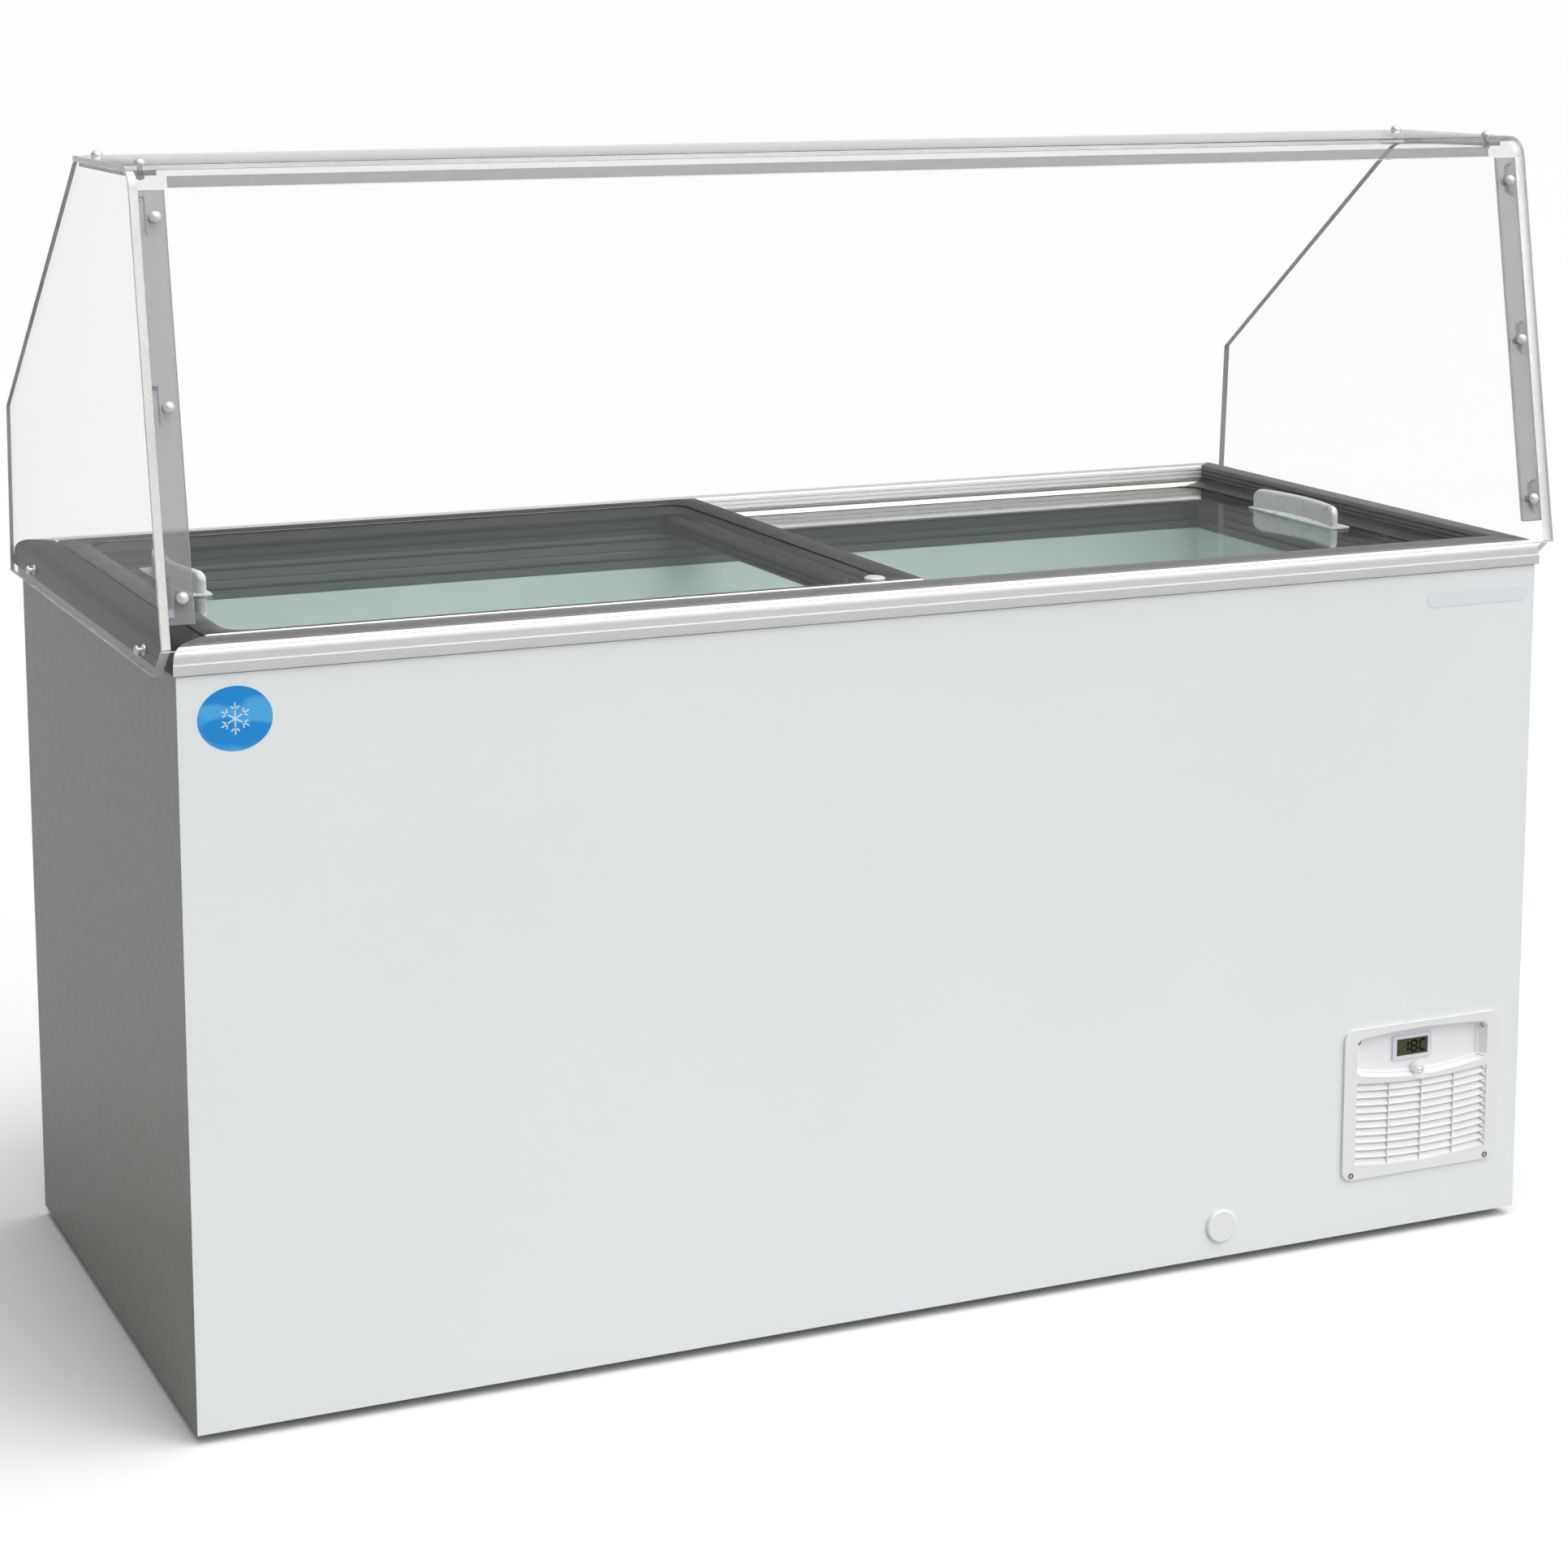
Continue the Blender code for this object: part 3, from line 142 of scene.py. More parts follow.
def vary_roughness(mat, source, low, high):
    tree = mat.node_tree
    node = tree.nodes.new("ShaderNodeMapRange")
    node.inputs["From Min"].default_value = NOISE_SPAN[0]
    node.inputs["From Max"].default_value = NOISE_SPAN[1]
    node.inputs["To Min"].default_value = low
    node.inputs["To Max"].default_value = high
    tree.links.new(source, node.inputs["Value"])
    tree.links.new(node.outputs["Result"], shader_of(mat).inputs["Roughness"])


def bump(mat, source, strength, distance):
    tree = mat.node_tree
    node = tree.nodes.new("ShaderNodeBump")
    node.inputs["Strength"].default_value = strength
    node.inputs["Distance"].default_value = distance
    tree.links.new(source, node.inputs["Height"])
    tree.links.new(node.outputs["Normal"], shader_of(mat).inputs["Normal"])


def let_lamps_through(mat, colour):
    """Lamps shine through the clear piece, so what is behind it isn't in shadow."""
    tree = mat.node_tree
    output = tree.nodes["Material Output"]
    path = tree.nodes.new("ShaderNodeLightPath")
    clear = tree.nodes.new("ShaderNodeBsdfTransparent")
    clear.inputs["Color"].default_value = (*colour, 1.0)
    mix = tree.nodes.new("ShaderNodeMixShader")
    tree.links.new(path.outputs["Is Shadow Ray"], mix.inputs["Fac"])
    tree.links.new(shader_of(mat).outputs["BSDF"], mix.inputs[1])
    tree.links.new(clear.outputs["BSDF"], mix.inputs[2])
    tree.links.new(mix.outputs["Shader"], output.inputs["Surface"])


def shade(colour, factor):
    return tuple(c * factor for c in colour)


def grey(level):
    return (level, level, level)


def powder_coat(name, colour):
    mat = new_material(name, colour, 0.35, Coat_Weight=0.15, Coat_Roughness=0.15)
    vary_colour(mat, noise(mat, 2.5), shade(colour, 0.985), shade(colour, 1.01))
    vary_roughness(mat, noise(mat, 60.0), 0.30, 0.38)
    bump(mat, noise(mat, 700.0, detail=2.0), strength=0.05, distance=0.0003)
    return mat


def drawn_metal(name, colour, roughness, along, metallic, **sockets):
    """Extruded metal with fine die lines along the piece."""
    stretch = [1.0, 1.0, 1.0]
    stretch["xyz".index(along)] = 0.0
    mat = new_material(name, colour, roughness, metallic, **sockets)
    lines = noise(mat, 1400.0, stretch=stretch)
    vary_colour(mat, lines, shade(colour, 0.95), shade(colour, 1.03))
    vary_roughness(mat, noise(mat, 6.0), roughness - 0.03, roughness + 0.03)
    bump(mat, lines, strength=0.05, distance=0.0002)
    return mat


def satin_metal(name, colour, roughness, metallic):
    mat = new_material(name, colour, roughness, metallic)
    vary_colour(mat, noise(mat, 12.0), shade(colour, 0.96), shade(colour, 1.03))
    vary_roughness(mat, noise(mat, 40.0), roughness - 0.03, roughness + 0.03)
    bump(mat, noise(mat, 1600.0, detail=2.0), strength=0.03, distance=0.0001)
    return mat


def plain_metal(name, colour, roughness, metallic, scale, low, high):
    """Metal of one colour, whose roughness runs from low to high in patches."""
    mat = new_material(name, colour, roughness, metallic)
    vary_roughness(mat, noise(mat, scale), low, high)
    return mat


def moulded(name, colour, roughness, grain=500.0, depth=0.06, **sockets):
    """Plastic, rubber or enamel with a fine grain."""
    mat = new_material(name, colour, roughness, **sockets)
    vary_colour(mat, noise(mat, 9.0), shade(colour, 0.97), shade(colour, 1.02))
    vary_roughness(mat, noise(mat, 80.0), roughness - 0.05, roughness + 0.05)
    bump(mat, noise(mat, grain, detail=2.0), depth, distance=0.0003)
    return mat


def clear_material(name, colour, ior, roughness=0.0, lamp_colour=None, transmission=1.0):
    mat = new_material(name, colour, roughness, IOR=ior, Transmission_Weight=transmission)
    vary_roughness(mat, noise(mat, 14.0), roughness, roughness + 0.002)
    let_lamps_through(mat, lamp_colour or colour)
    return mat


def cut_edge(name, colour):
    """A sawn and polished edge of clear sheet: mostly frosted, with a tone and polish that vary."""
    mat = new_material(name, colour, 0.22, IOR=1.49, Transmission_Weight=0.20)
    vary_colour(mat, noise(mat, 5.0), shade(colour, 0.90), shade(colour, 1.08))
    vary_roughness(mat, noise(mat, 30.0), 0.15, 0.30)
    return mat


def galvanised(name):
    """Zinc with a faint spangle."""
    mat = new_material(name, (0.55, 0.56, 0.57), 0.42, 0.85)
    vary_colour(mat, cells(mat, 130.0), (0.50, 0.51, 0.52), (0.585, 0.595, 0.605), (0.1, 0.9))
    vary_roughness(mat, noise(mat, 120.0), 0.36, 0.50)
    return mat


def sticker_blue(name):
    """Print in two blues with soft waves."""
    mat = new_material(name, (0.01, 0.22, 0.60), 0.35, Coat_Weight=0.1)
    tone = noise(mat, 22.0, detail=1.0, stretch=(1, 1, 2.4))
    vary_colour(mat, tone, (0.0, 0.245, 0.66), (0.06, 0.39, 0.78), (0.44, 0.56))
    return mat


def build_materials():
    m = {}
    m["front_paint"] = powder_coat("front_paint", (0.79, 0.825, 0.835))
    # The end panels' grey is partly their paint and partly painted shade: it is made dark to carry the
    # shade on the cabinet's left side.
    m["side_paint_and_painted_shade"] = powder_coat("side_paint_and_painted_shade", (0.262, 0.262, 0.240))
    m["rail_x"] = drawn_metal("rail_x", (0.75, 0.74, 0.735), 0.34, "x", 0.40)
    # A darker copy of the front rail's metal for its upward faces: painted shade for the dark reflection
    # along the rail's top.
    m["rail_top_painted_shade"] = drawn_metal("rail_top_painted_shade", (0.20, 0.20, 0.198), 0.34, "x", 0.30)
    # The end rails are the front rail's metal made darker as painted shade for the dark reflections they
    # catch; the left one, on the shaded side, is far darker.
    m["left_rail"] = drawn_metal(
        "left_rail", (0.036, 0.036, 0.037), 0.36, "y", 0.0, Specular_IOR_Level=0.15
    )
    m["right_rail"] = drawn_metal("right_rail", (0.19, 0.185, 0.18), 0.36, "y", 0.3)
    m["track_x"] = drawn_metal("track_x", (0.105, 0.120, 0.124), 0.40, "x", 0.0)
    m["track_y"] = drawn_metal("track_y", (0.135, 0.130, 0.125), 0.40, "y", 0.0)
    m["lid_frame"] = satin_metal("lid_frame", (0.150, 0.143, 0.138), 0.30, 0.70)
    # A pale band on the slope of the lower lid's rear bar: painted highlight where the slope catches the
    # soft box overhead.
    m["pale_bar_painted_highlight"] = satin_metal("pale_bar_painted_highlight", (0.74, 0.73, 0.665), 0.34, 0.0)
    # A bright line along the lid bars' outer arrises: painted highlight.
    m["lid_edge_painted_highlight"] = plain_metal("lid_edge_painted_highlight", (0.85, 0.84, 0.83), 0.25, 0.8, 90.0, 0.20, 0.32)
    m["seal"] = moulded("seal", grey(0.030), 0.55, grain=300.0, depth=0.15)
    m["liner"] = moulded("liner", (0.70, 0.785, 0.745), 0.42, grain=160.0)
    m["glass"] = clear_material("glass", (0.95, 0.985, 0.975), 1.22)
    m["acrylic"] = clear_material("acrylic", (0.985, 0.99, 0.988), 1.07)
    # The shelf and the bend are the same clear sheet as the front, tinted greyer as painted shade.
    m["shelf"] = clear_material("shelf", (0.90, 0.90, 0.905), 1.07, lamp_colour=grey(0.97))
    m["bend"] = clear_material("bend", (0.86, 0.865, 0.86), 1.01, lamp_colour=grey(0.97))
    m["acrylic_edge"] = cut_edge("acrylic_edge", (0.76, 0.775, 0.74))
    # A dark copy of the cut edge for the end panels' rear-facing edges: painted shade.
    m["cut_edge_painted_shade"] = cut_edge("cut_edge_painted_shade", (0.20, 0.20, 0.195))
    # The clear strips' grey tint is painted shade for the dark surroundings seen through them.
    m["strip_painted_shade"] = clear_material(
        "strip_painted_shade", (0.47, 0.47, 0.485), 1.15, 0.02, lamp_colour=grey(0.6), transmission=0.68
    )
    m["handle"] = moulded("handle", (0.50, 0.505, 0.51), 0.30, grain=700.0, depth=0.02)
    m["plastic"] = moulded("plastic", (0.80, 0.80, 0.805), 0.38, grain=900.0, depth=0.05)
    m["pocket"] = moulded("pocket", (0.86, 0.86, 0.87), 0.38, grain=900.0, depth=0.05)
    m["bezel"] = moulded("bezel", (0.70, 0.71, 0.79), 0.3, grain=900.0, depth=0.03)
    m["lcd"] = moulded(
        "lcd", (0.066, 0.066, 0.032), 0.30, grain=900.0, depth=0.01, Specular_IOR_Level=0.2
    )
    m["digits"] = moulded("digits", (0.003, 0.004, 0.005), 0.5, Specular_IOR_Level=0.1)
    m["bolt"] = plain_metal("bolt", (0.74, 0.72, 0.70), 0.28, 0.45, 600.0, 0.20, 0.34)
    m["dark_steel"] = plain_metal("dark_steel", (0.20, 0.20, 0.21), 0.3, 0.9, 600.0, 0.24, 0.4)
    m["galvanised"] = galvanised("galvanised")
    m["foam"] = moulded("foam", (0.80, 0.70, 0.42), 0.85, grain=120.0, depth=0.5)
    m["copper"] = plain_metal("copper", (0.80, 0.42, 0.27), 0.3, 1.0, 120.0, 0.22, 0.42)
    m["enamel"] = moulded("enamel", (0.018, 0.018, 0.019), 0.28, grain=240.0, depth=0.08)
    m["rubber"] = moulded("rubber", grey(0.025), 0.65, grain=400.0, depth=0.2)
    m["sticker"] = sticker_blue("sticker")
    m["sticker_print"] = moulded("sticker_print", (0.55, 0.74, 0.90), 0.3)
    m["label"] = moulded("label", (0.77, 0.80, 0.84), 0.2, grain=900.0, depth=0.02, Coat_Weight=0.3)
    return m


# ---------------------------------------------------------------- mesh helpers
def skin(rings, closed=False):
    """A mesh over rings of points, with a cap at each end, or closed round on itself."""
    bm = bmesh.new()
    loops = [[bm.verts.new(point) for point in ring] for ring in rings]
    following = loops[1:]
    if closed:
        following = following + loops[:1]
    else:
        bm.faces.new(loops[0])
        bm.faces.new(loops[-1])
    for first, second in zip(loops, following):
        for i in range(len(first)):
            j = (i + 1) % len(first)
            bm.faces.new((first[i], first[j], second[j], second[i]))
    return bm


def prism(outline, axis, low, high):
    """Extrudes a closed outline along an axis. The outline lies in the other two axes, in order."""
    u, v = [i for i in range(3) if i != axis]
    rings = []
    for level in (low, high):
        ring = []
        for a, b in outline:
            point = [0.0, 0.0, 0.0]
            point[u] = a
            point[v] = b
            point[axis] = level
            ring.append(point)
        rings.append(ring)
    return skin(rings)


def box(low, high):
    outline = [(low[0], low[1]), (high[0], low[1]), (high[0], high[1]), (low[0], high[1])]
    return prism(outline, Z, low[2], high[2])


def turned(profile, centre, axis, segments):
    """Turns (radius, along) points about an axis. Points of zero radius close the ends."""
    bm = bmesh.new()
    u, v = [i for i in range(3) if i != axis]
    rings = []
    for radius, along in profile:
        ring = []
        for k in range(segments if radius > 1e-7 else 1):
            angle = 2 * math.pi * k / segments
            point = list(centre)
            point[u] += radius * math.cos(angle)
            point[v] += radius * math.sin(angle)
            point[axis] += along
            ring.append(bm.verts.new(point))
        rings.append(ring)
    for first, second in zip(rings, rings[1:]):
        for k in range(segments):
            n = (k + 1) % segments
            if len(first) == 1:
                bm.faces.new((first[0], second[k], second[n]))
            elif len(second) == 1:
                bm.faces.new((first[k], second[0], first[n]))
            else:
                bm.faces.new((first[k], second[k], second[n], first[n]))
    return bm


def arc(centre, radius, start, end, steps):
    """Points on a circle from one angle to another, in degrees."""
    points = []
    for k in range(steps + 1):
        angle = math.radians(start + (end - start) * k / steps)
        points.append((centre[0] + radius * math.cos(angle), centre[1] + radius * math.sin(angle)))
    return points


def rounded_rectangle(x0, y0, x1, y1, radius, steps=8):
    corners = (
        ((x1 - radius, y0 + radius), -90),
        ((x1 - radius, y1 - radius), 0),
        ((x0 + radius, y1 - radius), 90),
        ((x0 + radius, y0 + radius), 180),
    )
    outline = []
    for centre, start in corners:
        outline += arc(centre, radius, start, start + 90, steps)
    return outline


def fillet(before, corner, after, radius, steps=16):
    """Arc points that round a corner between two straight runs."""
    corner = Vector(corner)
    first = (Vector(before) - corner).normalized()
    second = (Vector(after) - corner).normalized()
    half = first.angle(second) / 2
    centre = corner + (first + second).normalized() * (radius / math.sin(half))
    start = corner + first * (radius / math.tan(half)) - centre
    end = corner + second * (radius / math.tan(half)) - centre
    total = math.pi - 2 * half
    points = []
    for k in range(steps + 1):
        t = k / steps
        blend = start * math.sin((1 - t) * total) + end * math.sin(t * total)
        points.append(tuple(centre + blend / math.sin(total)))
    return points


def thick_line(a, b, width):
    """The outline of a straight line of some width between two points."""
    across = (b - a).normalized().orthogonal() * width / 2
    return [tuple(p) for p in (a - across, b - across, b + across, a + across)]


def join(target, source):
    """Moves the faces of one bmesh into another."""
    mesh = bpy.data.meshes.new("joining")
    source.to_mesh(mesh)
    source.free()
    target.from_mesh(mesh)
    bpy.data.meshes.remove(mesh)
    return target


def soften(bm, width, segments=2, angle=35):
    """Rounds the edges sharper than an angle."""
    bmesh.ops.recalc_face_normals(bm, faces=bm.faces[:])
    limit = math.radians(angle)
    edges = [e for e in bm.edges if len(e.link_faces) == 2 and e.calc_face_angle(0) > limit]
    bmesh.ops.bevel(bm, geom=edges, offset=width, segments=segments, affect="EDGES", clamp_overlap=True)
    return bm


def smooth_over(mesh, angle):
    """Smooth shading, with creases at the edges sharper than an angle."""
    mesh.shade_smooth()
    mesh.set_sharp_from_angle(angle=math.radians(angle))


def piece(name, bm, materials, body="cabinet", stands_for=(), *, smooth=35, pick=None):
    """Makes the object, rides it on its body and hides the CAD nodes it stands for.

    pick, if given, chooses the material index of a face from its normal and its centre.
    """
    bmesh.ops.recalc_face_normals(bm, faces=bm.faces[:])
    if pick:
        for face in bm.faces:
            face.material_index = pick(face.normal, face.calc_center_median())
    mesh = bpy.data.meshes.new(name)
    bm.to_mesh(mesh)
    bm.free()
    for mat in materials if isinstance(materials, tuple) else (materials,):
        mesh.materials.append(mat)
    obj = bpy.data.objects.new(name, mesh)
    bpy.context.scene.collection.objects.link(obj)
    if smooth:
        smooth_over(mesh, smooth)
    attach(obj, body)
    if stands_for:
        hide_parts(*stands_for)
    return obj


def combine(obj, bm, operation="DIFFERENCE"):
    """Cuts or joins a shape with a finished piece, and keeps only the result."""
    bmesh.ops.recalc_face_normals(bm, faces=bm.faces[:])
    mesh = bpy.data.meshes.new("cutter")
    bm.to_mesh(mesh)
    bm.free()
    other = bpy.data.objects.new("cutter", mesh)
    bpy.context.scene.collection.objects.link(other)
    modifier = obj.modifiers.new("cut", "BOOLEAN")
    modifier.operation = operation
    modifier.solver = "EXACT"
    modifier.object = other
    made = bpy.data.meshes.new_from_object(obj.evaluated_get(bpy.context.evaluated_depsgraph_get()))
    obj.modifiers.clear()
    obj.data = made
    bpy.data.objects.remove(other, do_unlink=True)


def dress(node, mat, smooth=35, bevel=0.0):
    """Gives a CAD node its finish, and with a bevel its rounded edges."""
    obj = NODES[node]
    obj.data.materials.clear()
    obj.data.materials.append(mat)
    for polygon in obj.data.polygons:
        polygon.material_index = 0
    smooth_over(obj.data, smooth)
    if bevel:
        modifier = obj.modifiers.new("edges", "BEVEL")
        modifier.width = bevel
        modifier.segments = 2
        modifier.limit_method = "ANGLE"
        modifier.angle_limit = math.radians(50)


# ---------------------------------------------------------------- casing and rail
SIDES = {"front": (0, -1), "rear": (0, 1), "left": (-1, 0), "right": (1, 0)}
FACING_UP = 0.86  # a face whose normal rises more than this is a top


def mitred(side, profile):
    """One side of a mitred rectangular frame. The profile holds (depth inwards, height) points."""
    sx, sy = SIDES[side]
    cut = GAP / 4
    rings = []
    for t in (-1, 1):
        ring = []
        for depth, z in profile:
            x = RAIL_HALF_X - depth
            y = RAIL_HALF_Y - depth
            ring.append((t * (x - cut), sy * y, z) if sy else (sx * x, t * (y - cut), z))
        rings.append(ring)
    return skin(rings)


def rail_profile():
    """Rolled lower lip, upright face with a soft crease, bull nose, flat top and grooved inner face."""
    crease = RAIL_BOTTOM + 0.0100
    shoulder = RAIL_BOTTOM + 0.0155
    crown = RAIL_TOP - 0.0006
    lean = 0.0009
    nose = 0.0150
    outline = [
        (0.0012, RAIL_BOTTOM),
        (0.0003, RAIL_BOTTOM + 0.0005),
        (0.0, RAIL_BOTTOM + 0.0012),
        (0.0001, crease),
        (0.0004, crease + 0.0005),
        (0.0005, crease + 0.0020),
        (lean, shoulder),
    ]
    for a, b in arc((0, 0), 1.0, 180, 90, 16)[1:]:
        outline.append((lean + nose * (1 + a), shoulder + (crown - shoulder) * b))
    inner = RAIL_WIDTH
    outline += [
        (inner - 0.0105, RAIL_TOP),
        (inner - 0.0016, RAIL_TOP),
        (inner - 0.0005, RAIL_TOP - 0.0005),
        (inner, RAIL_TOP - 0.0016),
    ]
    groove_floor = inner - 0.0014
    for drop in (0.0060, 0.0110, 0.0160, 0.0210):
        z = RAIL_TOP - drop
        outline += [(inner, z + 0.0008), (groove_floor, z), (groove_floor, z - 0.0008), (inner, z - 0.0016)]
    outline.append((inner, RAIL_BOTTOM))
    return outline


def groove(face, top):
    """A groove in an upright face, a little narrower at its floor."""
    deep, tall, draft = 0.0034, 0.0032, 0.0004
    floor = face - deep
    return [(face, top), (floor, top - draft), (floor, top - tall + draft), (face, top - tall)]


def track_profile(side):
    """Ledges for the lids, then a skirt with a shallow step down to the liner."""
    outer = RAIL_WIDTH + GAP
    upper = RAIL_WIDTH + LEDGE_WIDTH
    lower = upper + LEDGE_WIDTH
    skirt = lower + 0.0015
    step = PANEL_TOP - 0.0280
    round_off = 0.0006
    if side == "right":
        ledges = [(outer, LOWER_LEDGE)]
    else:
        ledges = [
            (outer, UPPER_LEDGE),
            (upper - round_off, UPPER_LEDGE),
            (upper, UPPER_LEDGE - round_off),
            *groove(upper, UPPER_LEDGE - 0.0040),
            *groove(upper, UPPER_LEDGE - 0.0150),
            (upper, LOWER_LEDGE),
        ]
    return [
        (outer, TRACK_BOTTOM),
        *ledges,
        (lower - round_off, LOWER_LEDGE),
        (lower, LOWER_LEDGE - round_off),
        *groove(lower, LOWER_LEDGE - 0.0040),
        (lower, step + 0.0010),
        (lower - 0.0010, step),
        (skirt, step - 0.0015),
        *groove(skirt, step - 0.0080),
        (skirt, TRACK_BOTTOM + round_off),
        (skirt - round_off, TRACK_BOTTOM),
    ]


def build_casing(m):
    dress("front_panel", m["front_paint"], bevel=0.0004)
    # The side panels take the grey that is partly painted shade.
    for name in ("left_side_panel", "right_side_panel"):
        dress(name, m["side_paint_and_painted_shade"], bevel=0.0003)
    for name in ("rear_panel", "base_pan", "rear_cover"):
        dress(name, m["galvanised"])
    for side in SIDES:
        along = "x" if side in ("front", "rear") else "y"
        # The end rails' darker colours are painted shade.
        rail = m["rail_x"] if along == "x" else m[side + "_rail"]
        piece(
            side + "_rail_extrusion",
            mitred(side, rail_profile()),
            # the front rail's upward faces take the darker copy, as painted shade
            (rail, m["rail_top_painted_shade"] if side == "front" else rail),
            stands_for=(side + "_rail",),
            smooth=28,
            pick=lambda normal, centre: 1 if normal.z > FACING_UP else 0,
        )
        piece(
            side + "_track_extrusion",
            mitred(side, track_profile(side)),
            m["track_" + along],
            stands_for=(side + "_track",),
            smooth=28,
        )
    for name in ("front_left", "front_right", "rear_left", "rear_right"):
        dress(name + "_foot", m["rubber"])


def build_cover_screws(m):
    """Three pan heads down each side of the rear cover."""
    low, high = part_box("rear_cover")
    side_margin, end_margin = 0.0055, 0.012
    heights = (low.z + end_margin, (low.z + high.z) / 2, high.z - end_margin)
    places = [(x, z) for x in (low.x + side_margin, high.x - side_margin) for z in heights]
    head = [(0.0, -0.0006), (0.0036, -0.0006), (0.0038, -0.0002), (0.0034, 0.0), (0.0, 0.0)]
    for i, (x, z) in enumerate(places):
        screw = turned(head, (x, high.y, z), Y, 20)
        piece(f"cover_screw_{i + 1}", screw, m["dark_steel"])


# ---------------------------------------------------------------- tub and machine
def build_inside(m):
    dress("inner_liner", m["liner"], bevel=0.004)
    dress("foam_insulation", m["foam"])
    dress("evaporator_coil", m["copper"])
    dress("drain_tube", m["plastic"])
    for name in ("compressor", "fan_motor", "fan_blade"):
        dress(name, m["enamel"])
    for name in ("condenser", "fan_shroud"):
        dress(name, m["galvanised"])


# ---------------------------------------------------------------- lids
def frame_ring(low, high, section):
    """A rectangular frame: the section's (share of the width inwards, height) points go round it."""
    outer_radius, inner_radius = 0.003, 0.026
    rings = []
    for share, z in section:
        outline = rounded_rectangle(
            low.x + share * STILE,
            low.y + share * BAR,
            high.x - share * STILE,
            high.y - share * BAR,
            outer_radius + (inner_radius - outer_radius) * share,
            10,
        )
        rings.append([(x, y, z) for x, y in outline])
    return skin(rings, closed=True)


def grip_plate(x_end, bow, z_low, z_high):
    """An upright grip, bowed in plan, with rounded corners and soft edges."""
    half_long, half_thick, corner = 0.0860, 0.0045, 0.0120
    thinnest = 0.0004
    steps = 40
    around = 20
    middle = (z_low + z_high) / 2
    rings = []
    for k in range(steps + 1):
        t = -1 + 2 * k / steps
        y = half_long * math.sin(t * math.pi / 2)
        to_end = half_long - abs(y)
        drop = corner - math.sqrt(max(0.0, corner**2 - (corner - min(corner, to_end)) ** 2))
        taper = half_thick - min(half_thick, to_end)
        thick = max(thinnest, math.sqrt(max(0.0, half_thick**2 - taper**2)))
        lift = max(0.0, (z_high - z_low) / 2 - drop - thick)
        x = x_end + bow * (1 - (y / half_long) ** 2)
        ring = []
        for a in range(around):
            angle = 2 * math.pi * (a + 0.5) / around
            c, s = math.cos(angle), math.sin(angle)
            ring.append((x + thick * c, y, middle + thick * s + math.copysign(lift, s)))
        rings.append(ring)
    return skin(rings)


def build_lid_frame(m, side, chamfer):
    """Four bars, with a fine slit across the end bars near each corner.

    chamfer is the share of a bar's width where its inner slope starts.
    """
    body = side + "_lid"
    low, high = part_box(body + "_frame")
    glass_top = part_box(body + "_glass")[1].z
    glass_low = glass_top - GLASS
    glass_edge = 1 - 0.0063 / BAR
    section = [
        (0.00, low.z),
        (0.00, high.z - 0.0012),
        (0.015, high.z - 0.0005),
        (0.055, high.z),
        (chamfer, high.z),
        (chamfer + 0.04, high.z - 0.0001),
        (0.97, glass_top + 0.0011),
        (1.00, glass_top + 0.0006),
        (1.00, glass_top + GAP),
        (glass_edge, glass_top + GAP),
        (glass_edge, glass_low - GAP),
        (1.00, glass_low - GAP),
        (1.00, low.z + 0.0010),
        (0.96, low.z),
    ]

    plain, bright, pale = range(3)

    def finish(normal, centre):
        """Painted highlights: a bright line along the front and rear arrises, and a pale band on the slope
        of the lower lid's rear bar.
        """
        outer = min(centre.y - low.y, high.y - centre.y) < 0.0020
        if outer and centre.z > high.z - 0.0015 and normal.z < 0.97:
            return bright
        rear_bar = centre.y > high.y - BAR and low.x + STILE < centre.x < high.x - STILE
        return pale if side == "right" and rear_bar and normal.z > 0.5 else plain

    made = piece(
        body + "_bars",
        frame_ring(low, high, section),
        (m["lid_frame"], m["lid_edge_painted_highlight"], m["pale_bar_painted_highlight"]),
        body,
        stands_for=(body + "_frame",),
        smooth=24,
        pick=finish,
    )
    joint = high.y - 0.0570
    half_wide, deep, over = 0.0003, 0.0006, 0.001
    for x0, x1 in ((low.x, low.x + STILE), (high.x - STILE, high.x)):
        for y in (-joint, joint):
            bottom = (x0 - over, y - half_wide, high.z - deep)
            top = (x1 + over, y + half_wide, high.z + over)
            combine(made, box(bottom, top))


def build_lid_grip(m, side):
    """The bowed grip on its flange, which lies on the glass near the lid's outer end."""
    body = side + "_lid"
    outward = -1 if side == "left" else 1
    grip_low, grip_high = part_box(body + "_handle")
    frame_low, frame_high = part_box(body + "_frame")
    glass_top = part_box(body + "_glass")[1].z
    x_end = (frame_high.x if outward > 0 else frame_low.x) - outward * 0.0560
    bow = 0.0140
    grip = piece(
        body + "_grip",
        grip_plate(x_end, outward * bow, grip_low.z, grip_high.z),
        m["handle"],
        body,
        stands_for=(body + "_handle",),
        smooth=0,
    )
    middle = x_end + outward * 0.0050
    half_wide, half_long = 0.0135, 0.0900
    outline = rounded_rectangle(middle - half_wide, -half_long, middle + half_wide, half_long, 0.004, 6)
    flange = soften(prism(outline, Z, glass_top + GAP, glass_top + 0.0025), 0.0006)
    combine(grip, flange, "UNION")
    smooth_over(grip.data, 40)


def build_lids(m):
    for side, chamfer in (("left", 0.45), ("right", 0.25)):
        build_lid_frame(m, side, chamfer)
        dress(side + "_lid_glass", m["glass"])
        build_lid_grip(m, side)
    dress("left_lid_bumper", m["handle"], bevel=0.0004)
    dress("right_lid_seal", m["seal"])


# ---------------------------------------------------------------- canopy
CLEAR, EDGE, EDGE_PAINTED_SHADE, SHELF, BEND = range(5)


